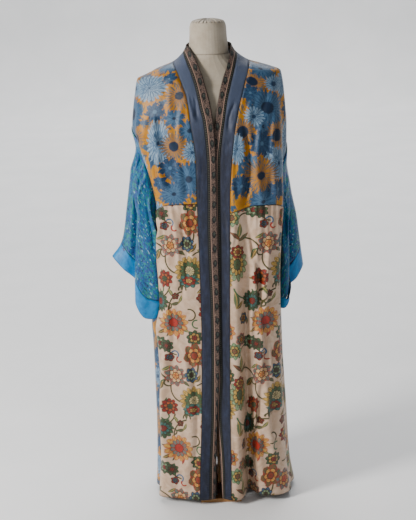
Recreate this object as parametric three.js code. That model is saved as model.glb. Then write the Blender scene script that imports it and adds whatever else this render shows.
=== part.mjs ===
// A full-length patchwork silk kimono on a limbless dress form, which stands on a wooden pole and foot.
// Millimetres, +Z up. The front faces -Y, and left and right are as seen by someone facing it.
// The origin is the middle of the foot's underside.
import * as THREE from "three";

// ---- Driving sizes ----
const SILK_WALL = 1.2;
const BAND_WALL = 1.8; // the neck band and its trim are sewn double
const SEAM_EASE = 0.18; // each piece stops this far short of its seam line
const TUBE_SEAM_EASE = 0.5; // the same for a sleeve, where the seam crosses folds
const LEAST_SEAM_SLANT = 0.3; // sine of the flattest angle that is allowed for between seam and columns
const ARMHOLE_LAP = 1.5; // from wall middle to wall middle, where the sleeve turns back over the body
const SLEEVE_CLEARANCE = 3; // from the middle of the body's wall to the middle of the sleeve's
const HEM_Z = 20;
const NECK_POINT_Z = { left: 1331, right: 1329 }; // where the band crosses the shoulder line
const SLEEVE_POINT_Z = { left: 1150, right: 1091 }; // outer end of the drop shoulder
const UNDERARM_Z = { left: 955, right: 905 };
const ARMHOLE_SPREAD = { left: 27, right: 24 }; // degrees that the armhole opens to the front and back
const ARMHOLE_ROUNDNESS = 0.4; // from 0, pointed at both ends, to 1, an ellipse
const SHOULDER_CORNER_Z = { left: 1286, right: 1298 };
const SHOULDER_CORNER_COLUMN = { left: 5, right: 6 }; // counted from the band
const EVENING_PASSES = 400; // that even out the rows and columns between a panel's edges
const EVENING_STEP = 0.7;
const CLOTH_PER_DEGREE = 3; // rough width of a degree of the body

const LOWER_ROWS = 14;
const UPPER_ROWS = 11;
const SIDE_ROWS = 3; // rows of the upper front below the underarm
const GATHER_STEPS = 3; // columns of the lower front for each column of the upper front
const UPPER_COLUMNS = { left: 12, right: 14 };
const LOWER_ROW_CROWDING = 1.5; // rows crowd towards the gathered seam

// Plan sections of the body, one a height: half widths to the left and right of the axis, depths to the
// front and back of it, and how square the section is (2 is an ellipse).
const BODY_SECTIONS = [
  { z: 10, left: 196, right: 231, front: 140, back: 152, square: 3.0 },
  { z: 110, left: 190, right: 216, front: 139, back: 147, square: 3.0 },
  { z: 280, left: 186, right: 209, front: 136, back: 141, square: 3.1 },
  { z: 480, left: 187, right: 200, front: 132, back: 136, square: 3.3 },
  { z: 560, left: 190, right: 198, front: 130, back: 134, square: 3.5 },
  { z: 620, left: 169, right: 197, front: 129, back: 132, square: 3.9 },
  { z: 700, left: 165, right: 196, front: 128, back: 130, square: 4.2 },
  { z: 800, left: 164, right: 200, front: 127, back: 128, square: 4.3 },
  { z: 920, left: 164, right: 208, front: 126, back: 126, square: 4.2 },
  { z: 1000, left: 180, right: 213, front: 125, back: 126, square: 3.7 },
  { z: 1080, left: 209, right: 218, front: 123, back: 125, square: 3.1 },
  { z: 1150, left: 226, right: 219, front: 119, back: 122, square: 2.8 },
  { z: 1200, left: 221, right: 216, front: 111, back: 117, square: 2.6 },
  { z: 1250, left: 213, right: 212, front: 98, back: 109, square: 2.5 },
  { z: 1286, left: 205, right: 207, front: 82, back: 97, square: 2.4 },
  { z: 1298, left: 176, right: 204, front: 77, back: 91, square: 2.4 },
  { z: 1313, left: 149, right: 170, front: 70, back: 85, square: 2.3 },
  { z: 1330, left: 103, right: 113, front: 65, back: 80, square: 2.2 },
  { z: 1345, left: 83, right: 89, front: 62, back: 77, square: 2.2 },
  { z: 1360, left: 70, right: 73, front: 61, back: 74, square: 2.1 },
  { z: 1377, left: 63, right: 65, front: 61, back: 72, square: 2.1 },
  { z: 1395, left: 62, right: 63, front: 61, back: 71, square: 2.1 },
];

// Long folds. Angles run round the axis from the front, positive to the right, and rises are outwards.
const FOLD_HEIGHTS = [1240, 920, 500, 20];
const FOLD_FADE_Z = 1300;
const FOLDS = [
  { name: "left front edge", angle: [-54, -54, -51, -54], rise: [2, 6, 9, 15], width: [9, 9, 9, 10] },
  { name: "left side valley", angle: [-70, -72, -66, -70], rise: [0, -20, -26, -16], width: [8, 9, 9, 8] },
  { name: "left back strip", angle: [-92, -92, -88, -90], rise: [0, 0, 5, 6], width: [12, 12, 12, 12] },
  { name: "left front hollow", angle: [-34, -34, -36, -38], rise: [0, -3, -4, -6], width: [10, 10, 10, 12] },
  { name: "right first ridge", angle: [19, 18, 17, 15], rise: [0, 7, 10, 8], width: [5, 5, 5, 6] },
  { name: "right valley", angle: [27, 25, 25, 23], rise: [0, -7, -26, -68], width: [5, 5, 5, 5.5] },
  { name: "right second ridge", angle: [36, 35, 34, 32], rise: [0, 4, 4, -9], width: [7, 7, 7, 8] },
  { name: "right front edge", angle: [50, 50, 52, 54], rise: [3, 8, 8, 4], width: [8, 8, 9, 12] },
  { name: "right side valley", angle: [66, 66, 68, 72], rise: [-5, -15, -14, -10], width: [9, 9, 9, 10] },
  { name: "right hem wave", angle: [90, 92, 92, 92], rise: [0, 0, 0, 4], width: [12, 12, 12, 12] },
  { name: "back flute 1", angle: [122, 122, 121, 119], rise: [0, -5, -12, -22], width: [8, 8, 8, 8] },
  { name: "back flute 2", angle: [145, 144, 143, 141], rise: [0, 5, 9, 14], width: [9, 9, 9, 9] },
  { name: "back flute 3", angle: [166, 165, 164, 163], rise: [0, -6, -16, -32], width: [7, 7, 7, 8] },
  { name: "back flute 4", angle: [186, 186, 187, 188], rise: [0, 4, 8, 14], width: [9, 9, 9, 9] },
  { name: "back flute 5", angle: [208, 208, 209, 211], rise: [0, -5, -13, -24], width: [7, 7, 7, 8] },
  { name: "back flute 6", angle: [234, 234, 236, 238], rise: [0, 4, 8, 12], width: [9, 9, 9, 9] },
];

// The seam that joins the upper and lower fronts, by angle from the front.
const WAIST_SEAM = {
  left: [
    { angle: 10, z: 942 },
    { angle: 30, z: 940 },
    { angle: 44, z: 936 },
    { angle: 56, z: 918 },
    { angle: 80, z: 905 },
  ],
  right: [
    { angle: 10, z: 909 },
    { angle: 22, z: 923 },
    { angle: 32, z: 932 },
    { angle: 42, z: 931 },
    { angle: 54, z: 918 },
    { angle: 66, z: 892 },
    { angle: 95, z: 878 },
  ],
};

// How far the side seams lie round from the front, and where the columns of the fronts fall between the
// band and the side, closest together along the gathers.
const SIDE_SEAM = {
  left: [
    { z: 10, angle: 70 },
    { z: 500, angle: 67 },
    { z: 800, angle: 73 },
    { z: 905, angle: 83 },
    { z: 955, angle: 90 },
  ],
  right: [
    { z: 10, angle: 96 },
    { z: 500, angle: 95 },
    { z: 800, angle: 93 },
    { z: 905, angle: 90 },
  ],
};
const COLUMN_SHARES = {
  left: [0, 0.08, 0.16, 0.24, 0.32, 0.4, 0.48, 0.55, 0.62, 0.7, 0.79, 0.89, 1],
  right: [0, 0.07, 0.13, 0.18, 0.23, 0.28, 0.33, 0.38, 0.43, 0.49, 0.56, 0.65, 0.75, 0.87, 1],
};

// Gathers under the waist seam: the ridge of each rises this far, and dies out this far below the seam.
const GATHERS = {
  left: [
    { column: 1, rise: 2.2, length: 90 },
    { column: 2, rise: 3.2, length: 150 },
    { column: 3, rise: 2.4, length: 70 },
    { column: 4, rise: 3.6, length: 170 },
    { column: 5, rise: 2.4, length: 80 },
    { column: 6, rise: 3.4, length: 130 },
    { column: 7, rise: 2.6, length: 90 },
    { column: 8, rise: 2.8, length: 110 },
  ],
  right: [
    { column: 3, rise: 2.4, length: 90 },
    { column: 4, rise: 3.2, length: 160 },
    { column: 5, rise: 2.4, length: 80 },
    { column: 6, rise: 3.6, length: 190 },
    { column: 7, rise: 2.6, length: 90 },
    { column: 8, rise: 3.4, length: 150 },
    { column: 9, rise: 2.4, length: 80 },
    { column: 10, rise: 3.2, length: 130 },
    { column: 11, rise: 2.6, length: 110 },
    { column: 12, rise: 2.4, length: 90 },
  ],
};
const GATHER_WIDTH = 0.3; // of a column

// The front band: at each height of its outer edge, where that edge, the trim's seam and the free edge
// lie, and how far the free edge is turned in (to the front where it is negative).
const FRONT_BAND = {
  left: [
    { z: 10, outer: -66, seam: -37, seamZ: 10, free: -18, freeZ: 10, turn: 12 },
    { z: 130, outer: -60, seam: -32, seamZ: 130, free: -12, freeZ: 130, turn: 10 },
    { z: 300, outer: -51, seam: -22, seamZ: 300, free: -4, freeZ: 300, turn: 1 },
    { z: 420, outer: -47, seam: -18, seamZ: 420, free: 4, freeZ: 420, turn: -3.5 },
    { z: 600, outer: -43, seam: -15, seamZ: 600, free: 10, freeZ: 600, turn: -3.5 },
    { z: 850, outer: -44, seam: -17, seamZ: 850, free: 11, freeZ: 850, turn: -3.5 },
    { z: 965, outer: -45, seam: -14, seamZ: 965, free: 11, freeZ: 965, turn: -3.5 },
    { z: 1060, outer: -45, seam: -13, seamZ: 1060, free: 11, freeZ: 1060, turn: -3.5 },
    { z: 1120, outer: -50, seam: -16, seamZ: 1122, free: 10, freeZ: 1124, turn: -3.5 },
    { z: 1170, outer: -57, seam: -21, seamZ: 1174, free: 6, freeZ: 1180, turn: -3 },
    { z: 1205, outer: -60, seam: -30, seamZ: 1215, free: -1, freeZ: 1226, turn: -1 },
    { z: 1240, outer: -65, seam: -38, seamZ: 1256, free: -11, freeZ: 1266, turn: 0 },
    { z: 1272, outer: -76, seam: -48, seamZ: 1293, free: -22, freeZ: 1303, turn: 0 },
    { z: 1303, outer: -88, seam: -60, seamZ: 1325, free: -36, freeZ: 1338, turn: 0 },
    { z: 1331, outer: -103, seam: -72, seamZ: 1356, free: -58, freeZ: 1374, turn: 0 },
  ],
  right: [
    { z: 10, outer: 31, seam: 12, seamZ: 10, free: 4, freeZ: 10, turn: 16 },
    { z: 130, outer: 33, seam: 13, seamZ: 130, free: 0, freeZ: 130, turn: 14 },
    { z: 300, outer: 34, seam: 7, seamZ: 300, free: -4, freeZ: 300, turn: 8 },
    { z: 420, outer: 36, seam: 14, seamZ: 420, free: -7, freeZ: 420, turn: 4 },
    { z: 600, outer: 40, seam: 15, seamZ: 600, free: -9, freeZ: 600, turn: 3.5 },
    { z: 850, outer: 46, seam: 20, seamZ: 850, free: -8, freeZ: 850, turn: 3.5 },
    { z: 965, outer: 49, seam: 21, seamZ: 965, free: -8, freeZ: 965, turn: 3.5 },
    { z: 1060, outer: 56, seam: 24, seamZ: 1062, free: -3, freeZ: 1064, turn: 3.5 },
    { z: 1120, outer: 63, seam: 31, seamZ: 1125, free: 3, freeZ: 1132, turn: 3.5 },
    { z: 1165, outer: 70, seam: 39, seamZ: 1174, free: 14, freeZ: 1184, turn: 3 },
    { z: 1213, outer: 81, seam: 48, seamZ: 1228, free: 24, freeZ: 1240, turn: 1 },
    { z: 1250, outer: 91, seam: 60, seamZ: 1274, free: 36, freeZ: 1284, turn: 0 },
    { z: 1290, outer: 103, seam: 72, seamZ: 1316, free: 52, freeZ: 1326, turn: 0 },
    { z: 1329, outer: 115, seam: 81, seamZ: 1352, free: 63, freeZ: 1372, turn: 0 },
  ],
};
// Round the back of the neck the band stands up: angles and heights of its three edges.
const NECK_BAND = [
  { step: 1, outer: 106, outerZ: 1328, seam: 101, seamZ: 1357, free: 98, freeZ: 1377 },
  { step: 2, outer: 123, outerZ: 1325, seam: 119, seamZ: 1357, free: 117, freeZ: 1380 },
  { step: 3, outer: 141, outerZ: 1322, seam: 138, seamZ: 1357, free: 137, freeZ: 1383 },
  { step: 4, outer: 160, outerZ: 1320, seam: 159, seamZ: 1357, free: 159, freeZ: 1385 },
  { step: 5, outer: 180, outerZ: 1319, seam: 180, seamZ: 1357, free: 180, freeZ: 1386 },
];

// Round a sleeve: share of the way from its outer to its inner edge, measured from the standing fold
// where `fold` is 1, depth to the front (-1) or back (1), how much of the front lobe's drop it takes, and
// how many wall columns lie between this point and the next.
const SLEEVE_PROFILE = [
  { name: "outer edge", before: 0, beyond: 0, depth: 0.1, drop: 0, columns: 2 },
  { name: "rear lobe", before: 0.5, beyond: 0, depth: -0.32, drop: 0, columns: 2 },
  { name: "valley", before: 1.06, beyond: 0, depth: -0.3, drop: 0, columns: 2 },
  { name: "standing fold", before: 1, beyond: 0, depth: -0.86, drop: 0.8, columns: 4 },
  { name: "front lobe", before: 1, beyond: 0.5, depth: -1, drop: 1, columns: 3 },
  { name: "inner fold", before: 1, beyond: 1.07, depth: -0.86, drop: 0.4, columns: 3 },
  { name: "inner edge", before: 1, beyond: 1, depth: 0, drop: 0, columns: 4 },
  { name: "inner back", before: 1, beyond: 0.75, depth: 0.85, drop: 0, columns: 5 },
  { name: "back", before: 0.9, beyond: 0, depth: 1, drop: 0, columns: 4 },
  { name: "outer back", before: 0.2, beyond: 0, depth: 0.75, drop: 0, columns: 3 },
];
// Sleeve stations from the armhole down: outer and inner edges, share of the width at which the fold
// stands, how far the front lobe drops below a straight hem, and depths to the front and back.
const SLEEVE_STATIONS = {
  left: [
    { outer: -233, outerZ: 1060, inner: -181, innerZ: 905, fold: 0.28, drop: 10, front: 58, back: 60 },
    { outer: -253, outerZ: 917, inner: -171, innerZ: 800, fold: 0.36, drop: 22, front: 68, back: 62 },
    { outer: -275, outerZ: 803, inner: -175, innerZ: 672, fold: 0.4, drop: 60, front: 64, back: 58 },
    { outer: -304, outerZ: 762, inner: -181, innerZ: 634, fold: 0.54, drop: 78, front: 62, back: 56 },
  ],
  right: [
    { outer: 236, outerZ: 1000, inner: 212, innerZ: 850, fold: 0.34, drop: 6, front: 60, back: 68 },
    { outer: 245, outerZ: 905, inner: 208, innerZ: 765, fold: 0.44, drop: 18, front: 68, back: 74 },
    { outer: 260, outerZ: 775, inner: 203, innerZ: 668, fold: 0.6, drop: 62, front: 70, back: 74 },
    { outer: 268, outerZ: 712, inner: 202, innerZ: 616, fold: 0.62, drop: 36, front: 68, back: 72 },
  ],
};
const SLEEVE_CENTRE_Y = { left: -4, right: 20 };
const SLEEVE_STEPS = [3, 3, 3]; // wall rows between stations, armhole to cuff
const CUFF_STEPS = 2;

// The dress form: half width, front and back depth of its torso from the waist stop up to the neck.
const TORSO_SECTIONS = [
  { z: 640, side: 136, front: 84, back: 92, square: 2.2 },
  { z: 700, side: 138, front: 86, back: 96, square: 2.2 },
  { z: 800, side: 132, front: 84, back: 92, square: 2.2 },
  { z: 920, side: 114, front: 80, back: 78, square: 2.2 },
  { z: 1040, side: 136, front: 96, back: 86, square: 2.2 },
  { z: 1140, side: 160, front: 108, back: 98, square: 2.3 },
  { z: 1200, side: 176, front: 101, back: 101, square: 2.3 },
  { z: 1250, side: 188, front: 86, back: 89, square: 2.3 },
  { z: 1268, side: 180, front: 74, back: 76, square: 2.3 },
  { z: 1281, side: 162, front: 67, back: 68, square: 2.2 },
  { z: 1294, side: 143, front: 63, back: 63, square: 2.1 },
  { z: 1308, side: 118, front: 60, back: 60, square: 2 },
  { z: 1323, side: 93, front: 58, back: 59, square: 2 },
  { z: 1338, side: 70, front: 56.5, back: 58, square: 2 },
  { z: 1351, side: 57, front: 56, back: 57, square: 2 },
];
const TORSO_SIDES = 32;
const NECK_SEAM_Z = 1351;
const NECK_TOP_Z = 1437;
const NECK_PROFILE = [
  { z: NECK_SEAM_Z, radius: 57 },
  { z: 1372, radius: 55.5 },
  { z: 1400, radius: 53 },
  { z: 1426, radius: 52 },
  { z: NECK_TOP_Z, radius: 49 },
];
const NECK_SIDES = 40;
const CAP_RADIUS = 48;
const CAP_HEIGHT = 11;
const CAP_GATHERS = 20;
const CAP_GATHER_DEPTH = 1.2;
const FACE_GAP = 0.3; // between hard pieces that meet

const POLE_RADIUS = 9;
const POLE_SIDES = 24;
const FOOT_THICKNESS = 12;
const FOOT_RAIL_WIDTH = 22;
const FOOT_BAR_DEPTH = 22;
const FRONT_BAR = { halfLength: 62, y: -102 };
const BACK_BAR = { halfLength: 130, y: 110 };

const COLOURS = {
  daisy: { color: 0x9a7b3c, roughness: 0.45 },
  floral: { color: 0xc9b3a0, roughness: 0.5 },
  slate: { color: 0x505d78, roughness: 0.5 },
  border: { color: 0x5d544c, roughness: 0.7 },
  turquoise: { color: 0x1c7fa8, roughness: 0.45 },
  cuff: { color: 0x0f8fc0, roughness: 0.45 },
  jersey: { color: 0xcfc4b4, roughness: 0.9 },
  wood: { color: 0xc39a63, roughness: 0.6 },
};

// ---- Small mathematics ----
const radians = THREE.MathUtils.degToRad;
const lerp = THREE.MathUtils.lerp;
const clamp = THREE.MathUtils.clamp;
const signOf = (side) => (side === "left" ? -1 : 1);

// Slope at each knot that keeps a curve through rising or falling knots free of overshoot.
function knotSlopes(keys, values) {
  const runs = keys.slice(1).map((key, i) => key - keys[i]);
  const grades = runs.map((run, i) => (values[i + 1] - values[i]) / run);
  return keys.map((_, i) => {
    if (i === 0) return grades[0];
    if (i === keys.length - 1) return grades[grades.length - 1];
    const before = grades[i - 1];
    const after = grades[i];
    if (before * after <= 0) return 0;
    const first = 2 * runs[i] + runs[i - 1];
    const second = runs[i] + 2 * runs[i - 1];
    return (first + second) / (first / before + second / after);
  });
}

// A smooth curve through the knots, held level past both ends.
function smoothCurve(keys, values) {
  const slopes = knotSlopes(keys, values);
  return (key) => {
    const at = clamp(key, keys[0], keys[keys.length - 1]);
    let i = 0;
    while (i < keys.length - 2 && at > keys[i + 1]) i += 1;
    const run = keys[i + 1] - keys[i];
    const t = (at - keys[i]) / run;
    const t2 = t * t;
    const t3 = t2 * t;
    return (
      (2 * t3 - 3 * t2 + 1) * values[i] +
      (t3 - 2 * t2 + t) * run * slopes[i] +
      (3 * t2 - 2 * t3) * values[i + 1] +
      (t3 - t2) * run * slopes[i + 1]
    );
  };
}

// One smooth curve for each named column of a table, by the column `key`.
function tableCurves(rows, key, columns) {
  const keys = rows.map((row) => row[key]);
  const curves = columns.map((column) => smoothCurve(keys, rows.map((row) => row[column])));
  return (at) => Object.fromEntries(columns.map((column, i) => [column, curves[i](at)]));
}

// ---- The body: one surface that all the panels and bands are cut from ----
const bodyAt = tableCurves(BODY_SECTIONS, "z", ["left", "right", "front", "back", "square"]);
const upwards = (values) => [...values].reverse();
const foldCurves = FOLDS.map((fold) => ({
  angle: smoothCurve(upwards(FOLD_HEIGHTS), upwards(fold.angle)),
  rise: smoothCurve(upwards(FOLD_HEIGHTS), upwards(fold.rise)),
  width: smoothCurve(upwards(FOLD_HEIGHTS), upwards(fold.width)),
}));

function foldRise(angle, z) {
  const fade = 1 - THREE.MathUtils.smoothstep(z, FOLD_HEIGHTS[0], FOLD_FADE_Z);
  return foldCurves.reduce((sum, fold) => {
    const apart = ((angle - fold.angle(z) + 540) % 360) - 180;
    return sum + fade * fold.rise(z) * Math.exp(-((apart / fold.width(z)) ** 2));
  }, 0);
}

function bodyPoint(angle, z, lift = 0) {
  const section = bodyAt(z);
  const sine = Math.sin(radians(angle));
  const cosine = Math.cos(radians(angle));
  const power = section.square;
  const reach = (Math.abs(sine) ** power + Math.abs(cosine) ** power) ** (-1 / power);
  const halfWidth = sine < 0 ? section.left : section.right;
  const depth = cosine > 0 ? section.front : section.back;
  const outX = (Math.sign(sine) * Math.abs(sine) ** (power - 1)) / halfWidth;
  const outY = (-Math.sign(cosine) * Math.abs(cosine) ** (power - 1)) / depth;
  const out = (foldRise(angle, z) + lift) / Math.hypot(outX, outY);
  return new THREE.Vector3(
    halfWidth * reach * sine + out * outX,
    -depth * reach * cosine + out * outY,
    z,
  );
}

function bodyNormal(angle, z) {
  const round = bodyPoint(angle + 0.5, z).sub(bodyPoint(angle - 0.5, z));
  const up = bodyPoint(angle, z + 1).sub(bodyPoint(angle, z - 1));
  return round.cross(up).normalize();
}

// The angle at which the section at a height is this wide of the axis, on its front half.
function frontAngle(x, z) {
  const section = bodyAt(z);
  const share = clamp(x / (x < 0 ? section.left : section.right), -1, 1);
  const rest = (1 - Math.abs(share) ** section.square) ** (1 / section.square);
  return THREE.MathUtils.radToDeg(Math.atan2(share, rest));
}

// ---- Walls ----
// The move that takes point i of an edge towards its neighbour inside the piece, as far as leaves the
// seam's ease, square to the edge.
function seamMove(edge, inside, i, closed) {
  const last = edge.length - 1;
  const before = closed ? edge.at(i - 1) : edge[Math.max(i - 1, 0)];
  const after = closed ? edge[(i + 1) % edge.length] : edge[Math.min(i + 1, last)];
  const run = after.clone().sub(before).normalize();
  const inwards = inside[i].clone().sub(edge[i]).normalize();
  const slant = Math.max(inwards.clone().cross(run).length(), LEAST_SEAM_SLANT);
  return inwards.multiplyScalar((closed ? TUBE_SEAM_EASE : SEAM_EASE) / slant);
}

// Rows of points whose edge rows, and edge columns unless they meet, stop short of the seams.
function easedRows(rows, closed) {
  const last = rows.length - 1;
  const eased = rows.map((row) => row.map((point) => point.clone()));
  rows[0].forEach((_, j) => {
    eased[0][j].add(seamMove(rows[0], rows[1], j, closed));
    eased[last][j].add(seamMove(rows[last], rows[last - 1], j, closed));
  });
  if (closed) return eased;
  const end = rows[0].length - 1;
  const column = (j) => rows.map((row) => row[j]);
  rows.forEach((_, i) => {
    eased[i][0].add(seamMove(column(0), column(1), i, false));
    eased[i][end].add(seamMove(column(end), column(end - 1), i, false));
  });
  return eased;
}

function signedVolume(vertices, triangles) {
  return triangles.reduce((sum, [a, b, c]) => {
    return sum + vertices[a].dot(vertices[b].clone().cross(vertices[c])) / 6;
  }, 0);
}

function meshOf(name, colour, vertices, triangles) {
  const turned = signedVolume(vertices, triangles) < 0;
  const index = triangles.flatMap(([a, b, c]) => (turned ? [a, c, b] : [a, b, c]));
  const geometry = new THREE.BufferGeometry().setFromPoints(vertices);
  geometry.setIndex(index);
  geometry.computeVertexNormals();
  const mesh = new THREE.Mesh(geometry, new THREE.MeshStandardMaterial(COLOURS[colour]));
  mesh.name = name;
  return mesh;
}

// A cloth wall: the rows of points are its middle, and the normals give it its thickness. Both of its
// faces are split along the same diagonals, so that neither can pass through the other.
function clothWall(name, colour, rows, normals, thickness, closed = false) {
  const middle = easedRows(rows, closed);
  const across = rows[0].length;
  const half = rows.length * across;
  const layer = (side) =>
    middle.flatMap((row, i) =>
      row.map((point, j) => point.clone().addScaledVector(normals[i][j], (side * thickness) / 2)),
    );
  const triangles = [];
  const quad = (a, b, c, d) => triangles.push([a, b, c], [a, c, d]);
  const at = (i, j) => i * across + (j % across);
  const spans = closed ? across : across - 1;
  for (let i = 0; i < rows.length - 1; i += 1) {
    for (let j = 0; j < spans; j += 1) {
      const [a, b, c, d] = [at(i, j), at(i, j + 1), at(i + 1, j + 1), at(i + 1, j)];
      quad(a, b, c, d);
      quad(a + half, d + half, c + half, b + half);
    }
  }
  for (let j = 0; j < spans; j += 1) {
    const top = rows.length - 1;
    quad(at(0, j + 1), at(0, j), at(0, j) + half, at(0, j + 1) + half);
    quad(at(top, j), at(top, j + 1), at(top, j + 1) + half, at(top, j) + half);
  }
  if (!closed) {
    const end = across - 1;
    for (let i = 0; i < rows.length - 1; i += 1) {
      quad(at(i, 0), at(i + 1, 0), at(i + 1, 0) + half, at(i, 0) + half);
      quad(at(i + 1, end), at(i, end), at(i, end) + half, at(i + 1, end) + half);
    }
  }
  return meshOf(name, colour, [...layer(1), ...layer(-1)], triangles);
}

// A wall whose middle is given as angle, height and lift on the body surface.
function bodyWall(name, colour, places, thickness) {
  const rows = places.map((row) => row.map(({ angle, z, lift }) => bodyPoint(angle, z, lift)));
  const normals = places.map((row) => row.map(({ angle, z }) => bodyNormal(angle, z)));
  return clothWall(name, colour, rows, normals, thickness);
}

// ---- Seam lines on the body ----
const bandColumns = ["outer", "seam", "seamZ", "free", "freeZ", "turn"];
const frontBandAt = {
  left: tableCurves(FRONT_BAND.left, "z", bandColumns),
  right: tableCurves(FRONT_BAND.right, "z", bandColumns),
};
const waistAt = {
  left: tableCurves(WAIST_SEAM.left, "angle", ["z"]),
  right: tableCurves(WAIST_SEAM.right, "angle", ["z"]),
};
const sideSeamAt = {
  left: tableCurves(SIDE_SEAM.left, "z", ["angle"]),
  right: tableCurves(SIDE_SEAM.right, "z", ["angle"]),
};
const bandSeamAngle = (side, z) => Math.abs(frontAngle(frontBandAt[side](z).outer, z));

// Angle and height of the waist seam at a share of the way from the band to the side.
function waistPlace(side, share) {
  const from = bandSeamAngle(side, waistAt[side](0).z);
  let z = waistAt[side](lerp(from, 90, share)).z;
  let angle = 0;
  for (let pass = 0; pass < 4; pass += 1) {
    angle = lerp(from, sideSeamAt[side](z).angle, share);
    z = waistAt[side](angle).z;
  }
  return { angle, z };
}

// Height of the shoulder line at a share of the way from the band to the sleeve point.
function shoulderZ(side, share) {
  const corner = SHOULDER_CORNER_COLUMN[side] / UPPER_COLUMNS[side];
  if (share < corner) return lerp(NECK_POINT_Z[side], SHOULDER_CORNER_Z[side], share / corner);
  return lerp(SHOULDER_CORNER_Z[side], SLEEVE_POINT_Z[side], (share - corner) / (1 - corner));
}

// Down the outer edge of the upper front: the armhole above the underarm, then the side seam.
function outerPlace(side, row) {
  const waist = waistPlace(side, 1);
  if (row <= SIDE_ROWS) {
    const z = lerp(waist.z, UNDERARM_Z[side], row / SIDE_ROWS);
    return { angle: sideSeamAt[side](z).angle, z };
  }
  const share = (row - SIDE_ROWS) / (UPPER_ROWS - SIDE_ROWS);
  const round = (1 - Math.cos(Math.PI * share)) / 2;
  return {
    angle: 90 - ARMHOLE_SPREAD[side] * Math.sin(Math.PI * share),
    z: lerp(UNDERARM_Z[side], SLEEVE_POINT_Z[side], lerp(share, round, ARMHOLE_ROUNDNESS)),
  };
}

// ---- Panels: tables of places on the body, row by row from the bottom ----
// The same edges with the rows and columns between them evened out, so that none crosses another where
// the armhole bites into the panel.
function evened(places) {
  let grid = places.map((row) => row.map(({ angle, z }) => ({ u: angle * CLOTH_PER_DEGREE, v: z })));
  const half = (a, b) => ({ u: (a.u - b.u) / 2, v: (a.v - b.v) / 2 });
  const dot = (a, b) => a.u * b.u + a.v * b.v;
  for (let pass = 0; pass < EVENING_PASSES; pass += 1) {
    grid = grid.map((row, i) =>
      row.map((place, j) => {
        if (i === 0 || j === 0 || i === grid.length - 1 || j === row.length - 1) return place;
        const [below, above] = [grid[i - 1], grid[i + 1]];
        const across = half(row[j + 1], row[j - 1]);
        const up = half(above[j], below[j]);
        const [wide, high, skew] = [dot(across, across), dot(up, up), dot(across, up) / 2];
        const even = (key) =>
          (high * (row[j + 1][key] + row[j - 1][key]) +
            wide * (above[j][key] + below[j][key]) -
            skew * (above[j + 1][key] - above[j - 1][key] - below[j + 1][key] + below[j - 1][key])) /
          (2 * (wide + high));
        return {
          u: lerp(place.u, even("u"), EVENING_STEP),
          v: lerp(place.v, even("v"), EVENING_STEP),
        };
      }),
    );
  }
  return grid.map((row) => row.map(({ u, v }) => ({ angle: u / CLOTH_PER_DEGREE, z: v, lift: 0 })));
}

function upperPlace(side, row, share, bottom) {
  const outer = outerPlace(side, row);
  if (share === 1) return outer;
  const top = shoulderZ(side, share);
  if (row === UPPER_ROWS) return { angle: 90, z: top };
  const rise = row / UPPER_ROWS;
  const waistOuter = outerPlace(side, 0).z;
  const outerRise = (outer.z - waistOuter) / (SLEEVE_POINT_Z[side] - waistOuter);
  const z = lerp(bottom.z, top, lerp(rise, outerRise, share ** 3));
  return { angle: lerp(bandSeamAngle(side, z), outer.angle, share), z };
}

function frontUpperPlaces(side) {
  const shares = COLUMN_SHARES[side];
  const places = Array.from({ length: UPPER_ROWS + 1 }, (_, row) =>
    shares.map((share, column) => {
      const bottom = waistPlace(side, share);
      const even = column / UPPER_COLUMNS[side];
      const blended = lerp(share, even, row / UPPER_ROWS);
      const place = row === 0 ? bottom : upperPlace(side, row, blended, bottom);
      return { angle: signOf(side) * place.angle, z: place.z };
    }),
  );
  return evened(places);
}

// Rise of the gathers at a place between columns of the upper front, this far below the seam.
function gatherRise(side, column, below) {
  return GATHERS[side].reduce((sum, gather) => {
    const apart = (column - gather.column) / GATHER_WIDTH;
    return sum + gather.rise * Math.exp(-(apart ** 2)) * Math.exp(-((below / gather.length) ** 2));
  }, 0);
}

const lowerRowShare = (row) => 1 - (1 - row / LOWER_ROWS) ** LOWER_ROW_CROWDING;

function frontLowerPlaces(side) {
  const columns = UPPER_COLUMNS[side] * GATHER_STEPS;
  return Array.from({ length: LOWER_ROWS + 1 }, (_, row) =>
    Array.from({ length: columns + 1 }, (_, column) => {
      const whole = Math.floor(column / GATHER_STEPS);
      const part = (column % GATHER_STEPS) / GATHER_STEPS;
      const shares = COLUMN_SHARES[side];
      const here = waistPlace(side, shares[whole]);
      const next = waistPlace(side, shares[Math.min(whole + 1, shares.length - 1)]);
      const waistZ = lerp(here.z, next.z, part);
      const share = lerp(shares[whole], shares[Math.min(whole + 1, shares.length - 1)], part);
      const z = lerp(HEM_Z, waistZ, lowerRowShare(row));
      const angle = lerp(bandSeamAngle(side, z), sideSeamAt[side](z).angle, share);
      const lift = gatherRise(side, column / GATHER_STEPS, waistZ - z);
      return { angle: signOf(side) * angle, z, lift };
    }),
  );
}

// The back's own columns: the right shoulder, the neck, then the left shoulder.
function backTopPlaces() {
  const shoulder = (side) =>
    frontUpperPlaces(side)[UPPER_ROWS].map(({ z }) => ({ angle: side === "left" ? 270 : 90, z }));
  const neck = NECK_BAND.map(({ outer, outerZ }) => ({ angle: outer, z: outerZ }));
  const mirrored = neck.slice(0, -1).map(({ angle, z }) => ({ angle: 360 - angle, z }));
  return [...shoulder("right").reverse(), ...neck, ...mirrored.reverse(), ...shoulder("left")];
}

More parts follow.
